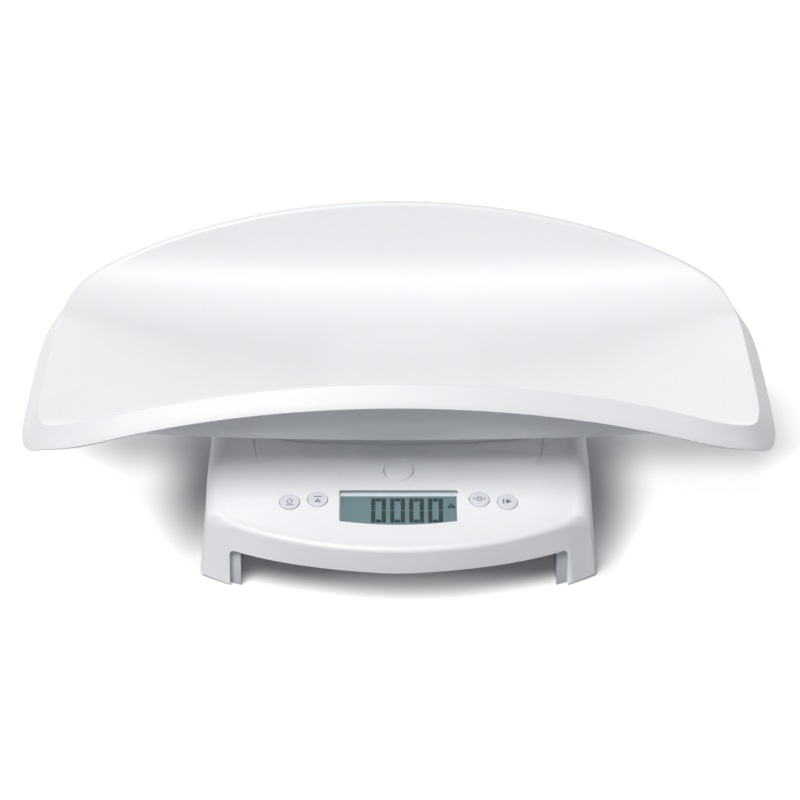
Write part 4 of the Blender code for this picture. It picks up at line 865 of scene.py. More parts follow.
def window_loop(half_x, half_y):
    """The window's outline: small round corners and an edge towards the operator bowed like the apron."""
    front = half_y - WINDOW_CORNER_RISE
    straight = half_x - WINDOW_CORNER
    loop = []
    for quarter, (sx, sy, reach) in enumerate(((1, 1, half_y), (-1, 1, half_y), (-1, -1, front),
                                               (1, -1, front))):
        for k in range(6):
            turn = math.pi / 2 * (quarter + k / 5)
            loop.append(Vector((sx * straight + WINDOW_CORNER * math.cos(turn),
                                sy * (reach - WINDOW_CORNER) + WINDOW_CORNER * math.sin(turn))))
        if quarter == 2:
            loop.extend(Vector((x, -front - WINDOW_BOW * (1 - (x / straight) ** 2)))
                        for x in spread(straight, 24)[1:-1])
    return loop


def window_cutter(half_x, half_y, depth, flare=0.0):
    """A cutter for the window's well, flared at the surface if asked."""
    inner = window_loop(half_x, half_y)
    loops = [lifted(inner, -depth)]
    if flare:
        loops.append(lifted(inner, -flare))
        inner = window_loop(half_x + flare + OVER, half_y + flare + OVER)
    made = loft("well", *loops, lifted(inner, OVER))
    made.matrix_world = window_place()
    return made


def inner_loop(inset, height):
    """The base's skirt at a height, drawn in by an inset."""
    border = outline_loop(shoulder_shape(), 200)
    share = 1 - (height - LEG_FOOT_Z) / (APRON_TOP_Z - FRONT_SHOULDER - LEG_FOOT_Z)
    loop = []
    for point, normal in zip(border, ring_normals(border)):
        lean = lean_at(point) * share
        loop.append(behind_apron(point + normal * (shoulder_radius(normal) + lean - inset), lean - inset))
    return lifted(loop, height)


def make_lower_housing(finish):
    inset = HOUSING_WALL + NEST_GAP
    deep = inset + LOWER_WALL
    made, room, pits = (
        loft(name, inner_loop(edge, low), inner_loop(edge, high)) for name, edge, low, high in (
            ("lower_housing_shell", inset, LOWER_FOOT_Z, LOWER_RIM_Z),
            ("room", deep, LOWER_FLOOR_Z + LOWER_FLOOR, LOWER_RIM_Z + OVER),
            ("pits", deep + GAP, LOWER_FOOT_Z + LOWER_WALL, LOWER_RIM_Z + 2 * OVER)))
    gaps = [reach - LOWER_INSET for reach in (ARCH_HALF_WIDTH, ARCH_FRONT, ARCH_REAR)]
    cut(made, leg_gaps(*gaps, LOWER_FLOOR_Z, ARCH_ROUNDING / 2))
    cut(made, room)
    cut(pits, leg_gaps(*(reach + LOWER_WALL for reach in gaps), LOWER_RIM_Z + 3 * OVER, 0))
    cut(made, pits)
    drill(made, FOOT_HOLE_RADIUS, -OVER, LOWER_FOOT_Z + LOWER_WALL + OVER, LEG_PLACES, sides=64)
    floor = (LOWER_FLOOR_Z - OVER, LOWER_FLOOR_Z + LOWER_FLOOR + OVER)
    drill(made, SCREW_HOLE_RADIUS, *floor, HOUSING_SCREWS)
    low, high = (CENTRING.inverted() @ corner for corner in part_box("battery_door"))
    cut(made, block("door_hole", (low.x - GAP, low.y - GAP, floor[0]),
                    (high.x + GAP, high.y + GAP, floor[1])))
    coat(made, finish["lower"])
    soften(made, EDGE)
    settle(made, 40)
    fit_centred(made, "base", "lower_plastic", "lower_housing")


# Geometry trees
def geometry_tree(name, build, sizes):
    """A tree with a mesh in and out, a material and named sizes, whose middle part is built by a function."""
    tree = bpy.data.node_groups.new(name, "GeometryNodeTree")
    titles = {key: key.replace("_", " ").title() for key in sizes}
    kinds = [("Mesh", "Geometry"), ("Finish", "Material"), *((title, "Float") for title in titles.values())]
    for title, kind in kinds:
        tree.interface.new_socket(title, in_out="INPUT", socket_type=f"NodeSocket{kind}")
    tree.interface.new_socket("Mesh", in_out="OUTPUT", socket_type="NodeSocketGeometry")
    start = tree.nodes.new("NodeGroupInput").outputs
    size = SimpleNamespace(**{key: Value(start[title]) for key, title in titles.items()})
    real = add_node(tree, "GeometryNodeRealizeInstances", Geometry=build(tree, start["Mesh"], size))
    finished = add_node(tree, "GeometryNodeSetMaterial", Geometry=real, Material=start["Finish"])
    feed(tree.nodes.new("NodeGroupOutput").inputs["Mesh"], finished)
    return tree


def grow(made, name, build, material, **sizes):
    """Runs a geometry tree on an object and keeps the result as its plain mesh."""
    tree = bpy.data.node_groups.get(name) or geometry_tree(name, build, sizes)
    modifier = made.modifiers.new("grow", "NODES")
    modifier.node_group = tree
    given = {key.replace("_", " ").title(): value for key, value in sizes.items()}
    for item in tree.interface.items_tree:
        if item.in_out == "INPUT" and item.socket_type != "NodeSocketGeometry":
            modifier[item.identifier] = given.get(item.name, material)
    return settle(made)


def attribute(tree, title, kind="FLOAT"):
    return Value(add_node(tree, "GeometryNodeInputNamedAttribute", {"data_type": kind}, Name=title))


def along_line(tree, count, instance, **pitch):
    """Copies of a shape laid out along a straight line."""
    line = add_node(tree, "GeometryNodeMeshLine", {"mode": "OFFSET"}, Count=count,
                    Offset=vector(tree, **pitch))
    return add_node(tree, "GeometryNodeInstanceOnPoints", Points=line, Instance=instance)


# Tray
RIM_MARKS = ("out_x", "out_y", "rolled", "dropped", "roll", "drop", "last")


def bent_tray(tree, sheet, size):
    """Bends a flat sheet into the trough and rolls its border over, from the tray's own sizes."""
    x, along, _height = split(tree, tree.nodes.new("GeometryNodeInputPosition"))
    out_x, out_y, rolled, dropped, roll, drop, last = (attribute(tree, title) for title in RIM_MARKS)

    def sine(value):
        return reckon("SINE", value)

    def cosine(value):
        return reckon("COSINE", value)

    def bend(run, radius, slope):
        """Distance out, rise and tilt of a wall after a run along the sheet."""
        run = reckon("MAXIMUM", run, 0.0)
        turn = reckon("MINIMUM", run / radius, slope)
        past = reckon("MAXIMUM", run - radius * slope, 0.0)
        out = radius * sine(turn) + past * cosine(slope)
        return out, radius * (1.0 - cosine(turn)) + past * sine(slope), turn

    back_out, back_rise, back_turn = bend(along - size.floor_rear, size.back_radius, size.back_slope)
    front_out, front_rise, front_turn = bend(-along - size.floor_front, size.front_radius, size.front_slope)
    level = reckon("MAXIMUM", reckon("MINIMUM", along, size.floor_rear), -size.floor_front)
    half = x / size.half_width
    bent_y = level + back_out - front_out
    bent_z = size.floor_height + half * half * size.end_lift + back_rise + front_rise
    across = x * size.end_lift * 2.0 / (size.half_width * size.half_width)
    tilt = reckon("TANGENT", back_turn - front_turn)
    first = reckon("ARCTANGENT", tilt * out_y + across * out_x)
    slope = first + (last - first) * rolled
    out = roll * (sine(first) - sine(slope)) + drop * cosine(last) * dropped
    rise = roll * (cosine(slope) - cosine(first)) + drop * sine(last) * dropped
    target = vector(tree, X=x + out_x * out, Y=bent_y + out_y * out, Z=bent_z + rise)
    return add_node(tree, "GeometryNodeSetPosition", Geometry=sheet, Position=target)


def make_tray(finish):
    def level(_x, side):
        return side.y

    rows = sheet_rows(SHEET, [(-TRAY_FLOOR_FRONT, level), (TRAY_FLOOR_REAR, level)], (22, 10, 36), 96)
    rows = [[p.to_3d() for p in row] for row in rows]
    edge = perimeter(rows)
    steps = ROLL_STEPS + DROP_STEPS
    made = open_sheet("tray_trough", rows, [edge] * steps, finish["tray"])
    normals = ring_normals([Vector(bent_plan(p.x, p.y)[:2]) for p in edge])
    rims = [rim_shape(place, normal) for place, normal in zip(edge, normals)]
    count = len(rows) * len(rows[0])
    marks = [[0.0] * len(RIM_MARKS)] * count
    for k in range(1, steps + 1):
        rolled = min(k / ROLL_STEPS, 1.0)
        dropped = max(k - ROLL_STEPS, 0) / DROP_STEPS
        marks += [(normal.x, normal.y, rolled, dropped, *rim) for normal, rim in zip(normals, rims)]
    for title, values in zip(RIM_MARKS, zip(*marks)):
        made.data.attributes.new(title, "FLOAT", "POINT").data.foreach_set("value", values)
    grow(made, "bent_tray", bent_tray, finish["tray"], floor_height=TRAY_FLOOR_Z,
         floor_front=TRAY_FLOOR_FRONT, floor_rear=TRAY_FLOOR_REAR, front_radius=TRAY_FRONT_RADIUS,
         front_slope=TRAY_FRONT_SLOPE, back_radius=TRAY_BACK_RADIUS, back_slope=TRAY_BACK_SLOPE,
         end_lift=TRAY_END_LIFT, half_width=SHEET_HALF_WIDTH)
    group = made.vertex_groups.new(name="wall")
    group.add(range(count), 1.0, "REPLACE")
    for i, (roll, _drop, _slope) in enumerate(rims):
        group.add(range(count + i, count + steps * len(edge), len(edge)), min(1.0, 0.9 * roll / TRAY_WALL),
                  "REPLACE")
    give_wall(made, TRAY_WALL, "wall")
    soften(made, LIP, segments=3, angle=55.0)
    settle(made, 50)
    fit_centred(made, "tray", "tray_plastic", "tray_shell")


def bent_plan(x, along):
    """Where a point of the flat sheet lies seen from above once the tray is bent, and its tilt along Y."""
    if along > TRAY_FLOOR_REAR:
        start, sense, radius, slope = TRAY_FLOOR_REAR, 1, TRAY_BACK_RADIUS, TRAY_BACK_SLOPE
    elif along < -TRAY_FLOOR_FRONT:
        start, sense, radius, slope = -TRAY_FLOOR_FRONT, -1, TRAY_FRONT_RADIUS, TRAY_FRONT_SLOPE
    else:
        return x, along, 0.0
    run = (along - start) * sense
    turn = min(run / radius, slope)
    past = max(run - radius * slope, 0.0)
    return x, start + sense * (radius * math.sin(turn) + past * math.cos(slope)), sense * turn


def rim_shape(place, normal):
    """Roll radius, drop and end slope of the rim at a border point.

    It starts and ends where the frame's rim does, but turns over a crisper edge where the sheet ends level.
    """
    back = ease(place.y, *RIM_BACK_SPAN)
    side = ease(abs(normal.x), *RIM_SIDE_FACING)
    across = 2 * TRAY_END_LIFT * place.x / SHEET_HALF_WIDTH ** 2
    first = math.atan(math.tan(bent_plan(place.x, place.y)[2]) * normal.y + across * normal.x)
    wall = ease(first, *RIM_WALL_SLOPES)
    roll = RIM_EDGE_ROLL + (RIM_ROLL - RIM_EDGE_ROLL) * wall
    roll += (RIM_BACK_ROLL - roll) * back
    drop = RIM_DROP + (RIM_SIDE_DROP - RIM_DROP) * side
    drop += (RIM_BACK_DROP - drop) * back
    slope = RIM_SLOPE + (RIM_SIDE_SLOPE - RIM_SLOPE) * side
    slope += (RIM_BACK_SLOPE - slope) * back
    out = roll * (math.sin(first) + math.sin(slope)) + drop * math.cos(slope)
    fall = roll * (math.cos(first) - math.cos(slope)) + drop * math.sin(slope)
    crisp = RIM_CRISP + (roll - RIM_CRISP) * max(wall, back)
    for _ in range(20):
        left = out - crisp * (math.sin(first) + math.sin(slope))
        down = fall - crisp * (math.cos(first) - math.cos(slope))
        slope = math.atan2(down, left)
    return crisp, math.hypot(left, down), -slope


def pedestal_loop(inset, height):
    shape = [size - inset for size in PEDESTAL]
    return lifted(outline_loop((*shape, PEDESTAL_CORNERS), 140), height)


def make_pedestal(finish):
    low = BASE_TOP_Z + GAP
    high = TRAY_FLOOR_Z - TRAY_WALL - GAP
    made = loft("tray_pedestal_skirt", pedestal_loop(PEDESTAL_EDGE, low),
                pedestal_loop(PEDESTAL_EDGE / 4, low + PEDESTAL_EDGE / 2),
                pedestal_loop(0.0, low + 2 * PEDESTAL_EDGE), pedestal_loop(0.0, high))
    for name, start, end in (("under", low - OVER, PEDESTAL_WEB_Z),
                             ("over", PEDESTAL_WEB_Z + PEDESTAL_WEB, high + OVER)):
        cut(made, loft(name, pedestal_loop(PEDESTAL_WALL, start), pedestal_loop(PEDESTAL_WALL, end)))
    drill(made, SCREW_HOLE_RADIUS, PEDESTAL_WEB_Z - OVER, PEDESTAL_WEB_Z + WEB_SCREW_ROOM, TRAY_SCREWS)
    middle = PEDESTAL_WEB_Z + PEDESTAL_WEB / 2
    cut(made, block("catch", (-CATCH_HALF_WIDTH, CATCH_FRONT, CATCH_LOW_Z),
                    (CATCH_HALF_WIDTH, CATCH_REAR, middle)), "UNION")
    reach = CATCH_HALF_WIDTH + OVER
    cut(made, block("notch", (-reach, CATCH_FRONT - OVER, NOTCH_Z[0]), (reach, NOTCH_REAR, NOTCH_Z[1])))
    for side in (-1, 1):
        cut(made, block("tab", (side * TAB_MIDDLE - TAB_HALF_WIDTH, TAB_FRONT, BASE_TOP_Z - TAB_REACH),
                        (side * TAB_MIDDLE + TAB_HALF_WIDTH, TAB_REAR, middle)), "UNION")
    coat(made, finish["tray"])
    settle(made, 35)
    fit_centred(made, "tray", "tray_plastic", "tray_pedestal")


# Printed marks
def band_mark(outer, inner, closed=False):
    """A thin printed band between two outlines that run side by side."""
    shape = bmesh.new()
    pairs = [(shape.verts.new((*far, 0)), shape.verts.new((*near, 0))) for far, near in zip(outer, inner)]
    if closed:
        pairs.append(pairs[0])
    for (far, near), (far_next, near_next) in zip(pairs, pairs[1:]):
        shape.faces.new((far, far_next, near_next, near))
    grown = bmesh.ops.extrude_face_region(shape, geom=shape.faces[:])
    for item in grown["geom"]:
        if isinstance(item, bmesh.types.BMVert):
            item.co.z += INK
    return from_bmesh("mark", shape)


def ring_mark(radius, width, start=0.0, end=360.0, middle=(0.0, 0.0)):
    """A printed ring, or an arc between two angles in degrees."""
    closed = end - start >= 360.0
    steps = 28
    turns = [math.radians(start + (end - start) * k / steps) for k in range(steps if closed else steps + 1)]
    outer, inner = ([(middle[0] + reach * math.cos(turn), middle[1] + reach * math.sin(turn))
                     for turn in turns] for reach in (radius + width / 2, radius - width / 2))
    return band_mark(outer, inner, closed)


def bar_mark(low, high):
    return band_mark([low, (high[0], low[1])], [(low[0], high[1]), high])


def hollow_mark(corners, share):
    """A printed shape of straight sides, with a hollow of the given share of its size."""
    middle = sum((Vector(corner) for corner in corners), Vector((0, 0))) / 3
    return band_mark(corners, [tuple(middle.lerp(Vector(corner), share)) for corner in corners], True)


def print_marks(marks, place, material):
    for mark in marks:
        mark.matrix_world = place
        coat(mark, material)
    return marks


def key_marks():
    """Plain pictograms: power, hold, zero and start."""
    return {
        "key_outer_left": [ring_mark(0.0019, 0.0006, 125, 415), bar_mark((-0.0003, 0.0006), (0.0003, 0.0030)),
                           bar_mark((-0.0026, -0.0038), (0.0026, -0.0031))],
        "key_inner_left": [hollow_mark([(-0.0024, -0.0034), (0.0024, -0.0034), (0.0, 0.0006)], 0.45),
                           bar_mark((-0.0028, 0.0018), (0.0028, 0.0026))],
        "key_inner_right": [bar_mark((-0.0045, -0.0004), (-0.0028, 0.0004)), ring_mark(0.0017, 0.0007),
                            bar_mark((0.0028, -0.0004), (0.0045, 0.0004))],
        "key_outer_right": [hollow_mark([(-0.0010, -0.0022), (0.0030, 0.0), (-0.0010, 0.0022)], 0.02),
                            bar_mark((-0.0034, -0.0022), (-0.0024, 0.0022))],
    }


# Keys and release button
def button(name, profile, edge, steps, place, material, sides=64):
    """A turned cap whose upper edge is rounded over."""
    corner = Vector(profile[1])
    start = corner - Vector((edge, 0))
    end = corner - Vector((0, edge))
    shares = [k / steps for k in range(steps + 1)]
    soft = [tuple(start.lerp(corner, share).lerp(corner.lerp(end, share), share)) for share in shares]
    cap = turned(name, profile[:1] + soft + profile[2:], place, sides)
    return settle(coat(cap, material), 40)


def make_keys(finish):
    low = -HOUSING_WALL - GAP
    profile = [(0, KEY_RISE), (KEY_RADIUS, KEY_RISE), (KEY_RADIUS, low), (KEY_FLANGE_RADIUS, low),
               (KEY_FLANGE_RADIUS, low - KEY_FLANGE), (KEY_STEM_RADIUS, low - KEY_FLANGE),
               (KEY_STEM_RADIUS, KEY_STEM_END), (0, KEY_STEM_END)]
    for name, marks in key_marks().items():
        place = panel_place(*KEY_PLACES[name])
        cap = button(f"{name}_cap", profile, 0.0005, 4, place, finish["key"])
        made = merged(f"{name}_dressed", cap, *print_marks(marks, place @ at(0, 0, KEY_RISE), finish["ink"]))
        fit_centred(settle(made, 40), f"{name}_cap", "key_plastic", name)


def make_release(finish):
    low = -HOUSING_WALL - GAP
    rim = RELEASE_RADIUS - GAP
    profile = [(0, 0.0), (rim, 0.0), (rim, low), (RELEASE_FLANGE_RADIUS, low),
               (RELEASE_FLANGE_RADIUS, low - RELEASE_FLANGE), (WEDGE_TOP[0], low - RELEASE_FLANGE), WEDGE_TOP,
               WEDGE_END, (0, WEDGE_END[1])]
    made = button("release_button_cap", profile, EDGE, 3, panel_place(0.0, RELEASE_Y), finish["white"], 96)
    fit_centred(made, "release", "white_plastic", "release_button")


# Display
def make_window(finish):
    loop = window_loop(WINDOW_HALF_WIDTH - GAP, window_half_y() - GAP)
    made = loft("window_lens", lifted(loop, -WINDOW_RECESS - WINDOW_THICKNESS), lifted(loop, -WINDOW_RECESS))
    made.matrix_world = window_place()
    settle(coat(made, finish["window"]), 40)
    fit_centred(made, "base", "window", "display_window")


def lcd_zeros(tree, _mesh, size):
    """Lays zeros along a line: square bars parted by thin slits at the corners and at mid-height."""
    bars = add_node(tree, "GeometryNodeJoinGeometry")
    half_width = size.width / 2.0
    half_height = size.height / 2.0
    half_stroke = size.stroke * 0.5

    def bar(wide, tall, x, y):
        body = add_node(tree, "GeometryNodeMeshCube", Size=vector(tree, X=wide, Y=tall, Z=size.thickness))
        feed(bars.inputs[0], add_node(tree, "GeometryNodeTransform", Geometry=body,
                                      Translation=vector(tree, X=x, Y=y)))

    for side in (-1.0, 1.0):
        bar(size.width - size.stroke - size.slit * 2.0, size.stroke, 0.0, half_height * side)
        for level in (-0.5, 0.5):
            bar(size.stroke, half_height + half_stroke - size.slit, half_width * side,
                (half_height + half_stroke + size.slit) * level)
    return along_line(tree, size.count, bars, X=size.pitch)


def make_lcd(finish):
    place = window_place()
    top = -LCD_DEPTH
    low = top - LCD_THICKNESS
    glass = block("glass", (-WINDOW_HALF_WIDTH, LCD_FRONT, low), (WINDOW_HALF_WIDTH, LCD_REAR, top), place)
    ledge = block("ledge", (-WINDOW_HALF_WIDTH, LCD_REAR, low), (WINDOW_HALF_WIDTH, LCD_LEDGE_REAR, top),
                  place)
    coat(glass, finish["lcd"])
    coat(ledge, finish["ledge"])
    digits = show("digits", bpy.data.meshes.new("digits"))
    digits.matrix_world = place @ at(*DIGITS_AT, top + 0.00004)
    grow(digits, "lcd_digits", lcd_zeros, finish["digit"], width=0.0077, height=0.0216, stroke=0.0031,
         pitch=0.01383, count=4, slit=0.0003, thickness=INK)
    weight = [hollow_mark([(-0.0030, -0.0022), (0.0030, -0.0022), (0.0018, 0.0010), (-0.0018, 0.0010)], 0.30),
              ring_mark(0.0009, 0.0006, middle=(0.0, 0.0019))]
    print_marks(weight, place @ at(*WEIGHT_MARK_AT, top), finish["digit"])
    made = settle(merged("lcd_with_digits", glass, ledge, digits, *weight), 30)
    fit_centred(made, "base", "lcd_glass", "lcd_glass")


# Fasteners, feet and power, laid out by geometry trees
def turned_set(stations, sides, cross=False):
    """Builds turned pieces on points: an axis whose radius changes by station, with a cross if asked."""
    def build(tree, points, size):
        line = stations(size)
        index = tree.nodes.new("GeometryNodeInputIndex")

        def pick(values):
            node = add_node(tree, "GeometryNodeIndexSwitch", {"data_type": "FLOAT"})
            while len(node.index_switch_items) < len(values):
                node.index_switch_items.new()
            for socket, value in zip(node.inputs, (index, *values)):
                feed(socket, value)
            return node

        radii, heights = zip(*line)
        path = add_node(tree, "GeometryNodeMeshLine", {"mode": "OFFSET"}, Count=len(line))
        raised = add_node(tree, "GeometryNodeSetPosition", Geometry=path,
                          Position=vector(tree, Z=pick(heights)))
        wide = add_node(tree, "GeometryNodeStoreNamedAttribute", {"data_type": "FLOAT", "domain": "POINT"},
                        Geometry=raised, Name="breadth", Value=pick(radii))
        axis = add_node(tree, "GeometryNodeMeshToCurve", Mesh=wide)
        ring = add_node(tree, "GeometryNodeCurvePrimitiveCircle", Resolution=sides, Radius=1.0)
        solid = add_node(tree, "GeometryNodeCurveToMesh", Curve=axis, Profile_Curve=ring,
                         Scale=attribute(tree, "breadth"), Fill_Caps=True)
        if cross:
            solid = add_node(tree, "GeometryNodeMeshBoolean", {"operation": "DIFFERENCE", "solver": "EXACT"},
                             Mesh_1=solid)
            for wide, long in ((size.cross_reach, size.cross_width), (size.cross_width, size.cross_reach)):
                spread_out = vector(tree, X=wide, Y=long, Z=size.cross_depth * 2.0)
                feed(solid.inputs["Mesh 2"], add_node(tree, "GeometryNodeMeshCube", Size=spread_out))
        return add_node(tree, "GeometryNodeInstanceOnPoints", Points=points, Instance=solid,
                        Rotation=attribute(tree, "turn", "FLOAT_VECTOR"))
    return build


def points_at(name, places, turns):
    """A mesh of points, each with the turn of the piece that will stand on it."""
    mesh = bpy.data.meshes.new(name)
    mesh.from_pydata(places, [], [])
    for item, turn in zip(mesh.attributes.new("turn", "FLOAT_VECTOR", "POINT").data, turns):
        item.vector = turn
    return show(name, mesh)


def screw_stations(size):
    head, shank, high, tall = size.head_radius, size.shank_radius, size.head_height, size.length
    thread = [(shank * (1.0 if k % 2 else 0.82), high + (tall - high) * (0.15 + 0.065 * k))
              for k in range(12)]
    return [(head * 0.72, high * 0.0), (head * 0.90, high * 0.12), (head, high * 0.42), (head, high * 0.90),
            (head * 0.96, high), (shank * 0.85, high * 1.01), *thread, (shank * 0.3, tall)]


def make_screws(finish):
    """Pan-head screws seen from below, each turned to its own angle."""
    for body, kind in (("base", "housing_screw"), ("tray", "tray_screw")):
        names = [f"{kind}_{i}" for i in range(1, 5)]
        boxes = [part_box(name) for name in names]
        places = [((low.x + high.x) / 2, (low.y + high.y) / 2, low.z) for low, high in boxes]
        made = points_at(f"{kind}s", places, [(0, 0, math.radians(angle)) for angle in SCREW_ANGLES])
        low, high = boxes[0]
        grow(made, "cross_screws", turned_set(screw_stations, 28, cross=True), finish["screw"],
             head_radius=SCREW_HEAD_RADIUS, head_height=SCREW_HEAD, shank_radius=SCREW_RADIUS,
             length=high.z - low.z, cross_reach=SCREW_HEAD_RADIUS * 1.15,
             cross_width=SCREW_HEAD_RADIUS * 0.26, cross_depth=SCREW_HEAD * 0.55)
        fit(settle(made, 35), body, "screw_steel", *names)


def soft_drum(radius, low, high, soft):
    """Stations of a drum with rounded edges."""
    return [(radius - soft, low), (radius - soft * 0.3, low + soft * 0.3), (radius, low + soft),
            (radius, high - soft), (radius - soft * 0.3, high - soft * 0.3), (radius - soft, high)]


def foot_cup_stations(size):
    soft = size.rounding
    return [*soft_drum(size.radius, size.low, size.high, soft), (size.stud_radius, size.high + soft * 0.05),
            (size.stud_radius, size.top - soft), (size.stud_radius - soft, size.top)]


def foot_treads(tree, points, size):
    """A rubber pad: a disc with round studs under it, laid out in rings."""
    disc = add_node(tree, "GeometryNodeMeshCylinder", {"fill_type": "NGON"}, Vertices=48,
                    Radius=size.radius, Depth=size.thickness - size.stud_height)
    middle = (size.thickness + size.stud_height) / 2.0
    pad = add_node(tree, "GeometryNodeJoinGeometry")
    feed(pad.inputs[0], add_node(tree, "GeometryNodeTransform", Geometry=disc,
                                 Translation=vector(tree, Z=middle)))
    stud = add_node(tree, "GeometryNodeMeshCylinder", {"fill_type": "NGON"}, Vertices=16,
                    Radius=size.stud_radius, Depth=size.stud_height * 1.2)
    rings = [add_node(tree, "GeometryNodeMeshLine", {"mode": "OFFSET"}, Count=1)]
    rings += [add_node(tree, "GeometryNodeMeshCircle", Vertices=count, Radius=size.radius * share)
              for count, share in ((6, 0.40), (13, 0.78))]
    for ring in rings:
        sunk = add_node(tree, "GeometryNodeSetPosition", Geometry=ring,
                        Offset=vector(tree, Z=size.stud_height * 0.6))
        feed(pad.inputs[0], add_node(tree, "GeometryNodeInstanceOnPoints", Points=sunk, Instance=stud))
    return add_node(tree, "GeometryNodeInstanceOnPoints", Points=points, Instance=pad)


def make_feet(finish):
    """Four rubber pads with treads, and the cups that carry them."""
    corners = ("front_left", "front_right", "rear_left", "rear_right")
    pads, cups = ([f"{kind}_{corner}" for corner in corners] for kind in ("foot_pad", "foot_cup"))
    boxes = [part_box(name) for name in pads]
    places = [((low.x + high.x) / 2, (low.y + high.y) / 2, 0.0) for low, high in boxes]
    rubber, held = (points_at(name, places, [(0, 0, 0)] * 4) for name in ("foot_pads", "foot_cups"))
    low, high = boxes[0]
    grow(rubber, "foot_treads", foot_treads, finish["rubber"], radius=(high.x - low.x) / 2,
         thickness=high.z - low.z, stud_radius=0.0008, stud_height=0.0005)
    fit(settle(rubber, 40), "base", "rubber", *pads)
    low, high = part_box(cups[0])
    grow(held, "foot_cup_set", turned_set(foot_cup_stations, 48), finish["lower"], radius=FOOT_RADIUS,
         low=low.z, high=high.z - CUP_SHOULDER, stud_radius=0.0022, top=high.z, rounding=0.0005)
    fit(settle(held, 40), "base", "lower_plastic", *cups)


def can_stations(size):
    across, tall, tip = size.radius, size.length, size.nub
    return [(across * 0.80, tall * 0.0), (across * 0.90, tip * 0.3), (across * 0.90, tall - tip * 0.3),
            (across * 0.80, tall), (across * 0.39, tall + tip * 0.02), (across * 0.39, tall + tip * 0.7),
            (across * 0.34, tall + tip)]


def sleeve_stations(size):
    return soft_drum(size.radius, size.start, size.stop, size.rounding)


def make_batteries(finish):
    """Four cells, each a metal can with a nub, a dark sleeve and a coloured band at the nub's end."""
    names = [f"battery_{i}" for i in range(1, 5)]
    places = []
    turns = []
    for i, name in enumerate(names):
        low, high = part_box(name)
        facing = 1 if i % 2 else -1
        places.append(((low.x + high.x) / 2, low.y if facing > 0 else high.y, (low.z + high.z) / 2))
        turns.append((-facing * math.pi / 2, 0, 0))
    radius = (high.x - low.x) / 2
    nub = 0.0012
    length = high.y - low.y - nub
    band = length * 0.72
    cans = grow(points_at("cans", places, turns), "cell_can", turned_set(can_stations, 40), finish["cap"],
                radius=radius, length=length, nub=nub)
    wraps, bands = (grow(points_at(name, places, turns), "cell_sleeve", turned_set(sleeve_stations, 40),
                         finish[wrap], radius=radius, start=start, stop=stop, rounding=0.0004)
                    for name, wrap, start, stop in (("wraps", "wrap", GAP, band),
                                                    ("bands", "wrap_top", band, length - GAP)))
    fit(settle(merged("battery_cells", cans, wraps, bands), 40), "base", "battery", *names)


def grip_ribs(tree, _mesh, size):
    """A row of low half-round ribs."""
    rib = add_node(tree, "GeometryNodeMeshCylinder", {"fill_type": "NGON"}, Vertices=16, Radius=size.radius,
                   Depth=size.reach)
    lying = add_node(tree, "GeometryNodeTransform", Geometry=rib, Rotation=(0, math.pi / 2, 0))
    return along_line(tree, size.count, lying, Y=size.pitch)


def make_door(finish):
    """The battery cover: a plate with softened edges, a finger scoop and a row of grip ribs."""
    low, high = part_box("battery_door")
    plate = block("door_plate", low, high)
    middle = (low.x + high.x) / 2
    cut(plate, turned("scoop", [(0, 0.0012), (0.0090, 0.0012), (0.0076, 0.0), (0, -0.0001)],
                      at(middle, high.y - 0.0010, low.z - 0.0001), 48))
    coat(plate, finish["lower"])
    soften(plate, EDGE)
    settle(plate)
    ribs = show("ribs", bpy.data.meshes.new("ribs"))
    ribs.matrix_world = at(middle, high.y - 0.0270, low.z + GAP)
    grow(ribs, "grip_ribs", grip_ribs, finish["lower"], count=6, pitch=0.0024, reach=0.0220, radius=0.0006)
    fit(settle(merged("battery_cover", plate, ribs), 40), "door", "lower_plastic", "battery_door")


# Scene
def seen_share(tree):
    """1 for what the camera sees, directly, in a gloss or through a clear piece, and 0 for other rays."""
    ray = tree.nodes.new("ShaderNodeLightPath").outputs
    seen = Value(ray["Is Camera Ray"]) + Value(ray["Is Glossy Ray"]) + Value(ray["Is Transmission Ray"])
    return reckon("MINIMUM", seen, 1.0)


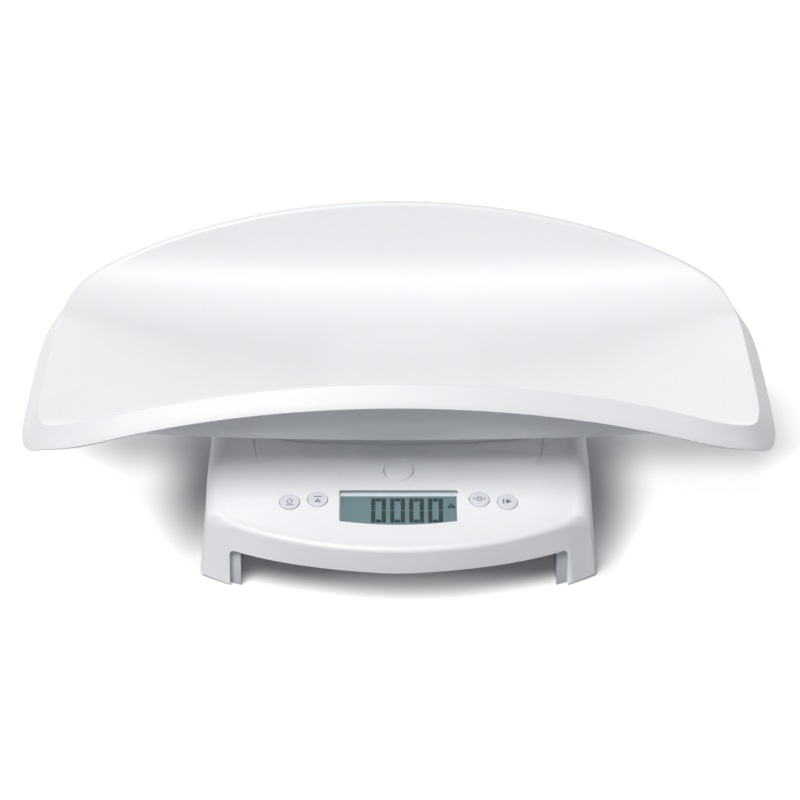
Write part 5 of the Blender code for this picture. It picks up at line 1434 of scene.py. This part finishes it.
def make_floor():
    """A matt disc that keeps the scale's shadow, lightened by painted light that glows for camera rays
    beside, in front of and behind the scale, and can't be seen from below.
    """
    shape = bmesh.new()
    bmesh.ops.create_circle(shape, cap_ends=True, segments=96, radius=FLOOR_RADIUS)
    material, tree, shader = new_material("pale_floor")
    made = from_bmesh("floor", shape, material, face_out=False)
    shader["Roughness"].default_value = 1.0
    shader["Specular IOR Level"].default_value = 0.0
    seen = seen_share(tree)
    feed(shader["Base Color"], mix_colours(tree, seen, FLOOR_BOUNCE, FLOOR_SEEN))
    # painted light: a glow the camera sees, lightening the scale's shadow beside, in front of and behind it
    x, y, _z = split(tree, object_place(tree))
    side = eased(reckon("ABSOLUTE", x), *FLOOR_SIDE)
    lift = FLOOR_LIFT + side * (FLOOR_SIDE_LIFT + eased(-y, *FLOOR_FORWARD) * FLOOR_FORWARD_LIFT)
    lift += eased(-y, *FLOOR_CLOSE) * FLOOR_CLOSE_LIFT + eased(y, *FLOOR_BEHIND) * FLOOR_BEHIND_LIFT
    both = tree.nodes.new("ShaderNodeAddShader")
    feed(both.inputs[0], tree.nodes["Principled BSDF"])
    feed(both.inputs[1], add_node(tree, "ShaderNodeEmission", Strength=seen * lift))
    mixed = add_node(tree, "ShaderNodeMixShader",
                     Fac=tree.nodes.new("ShaderNodeNewGeometry").outputs["Backfacing"])
    feed(mixed.inputs[1], both)
    feed(mixed.inputs[2], tree.nodes.new("ShaderNodeBsdfTransparent"))
    feed(tree.nodes["Material Output"].inputs["Surface"], mixed)


def make_world():
    world = bpy.data.worlds.new("studio")
    world.use_nodes = True
    tree = world.node_tree
    feed(tree.nodes["Background"].inputs["Color"], mix_colours(tree, seen_share(tree), WORLD_SHADE, BACKDROP))
    bpy.context.scene.world = world


def make_sun(name, energy, angle, direction, shadow=True):
    lamp = bpy.data.lights.new(name, "SUN")
    lamp.energy = energy
    lamp.angle = angle
    lamp.use_shadow = shadow
    made = bpy.data.objects.new(name, lamp)
    made.rotation_euler = Vector(direction).to_track_quat("Z", "Y").to_euler()
    bpy.context.scene.collection.objects.link(made)


def make_lights():
    """A broad lamp above the operator, a little to the left, and a faint fill from behind."""
    make_sun("key_light", energy=2.66, angle=0.6, direction=(-0.28, -0.50, 0.82))
    make_sun("back_fill", energy=0.90, angle=0.8, direction=(0.0, 0.98, 0.12), shadow=False)


def make_camera():
    camera = bpy.data.cameras.new("camera")
    camera.lens = CAMERA_LENS
    camera.sensor_width = 36
    camera.clip_start = 0.05
    made = bpy.data.objects.new("camera", camera)
    made.location = CAMERA_PLACE
    made.rotation_euler = (CAMERA_TILT, 0, 0)
    bpy.context.scene.collection.objects.link(made)
    bpy.context.scene.camera = made


def dress_cad_nodes(finish):
    """Gives the CAD nodes that stay in view their procedural finishes, chosen by how their names start."""
    by_start = {"lcd_frame": "frame", "main_board": "board", "latch_spring": "spring", "latch_": "inner",
                "battery_holder": "inner", "battery_contact": "spring", "battery_lead": "lead",
                "cell_lead": "lead", "board_screw": "screw", "switch_": "switch", "load_cell": "cell"}
    for name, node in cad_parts.items():
        coat(node, finish[next((by_start[start] for start in by_start if name.startswith(start)), "white")])


def main():
    bpy.context.scene.view_settings.view_transform = "Standard"
    finish = make_finishes()
    dress_cad_nodes(finish)
    for make in (make_upper_housing, make_lower_housing, make_tray, make_pedestal, make_keys, make_release,
                 make_window, make_lcd, make_screws, make_feet, make_batteries, make_door):
        make(finish)
    for make in (make_floor, make_world, make_lights, make_camera):
        make()


main()
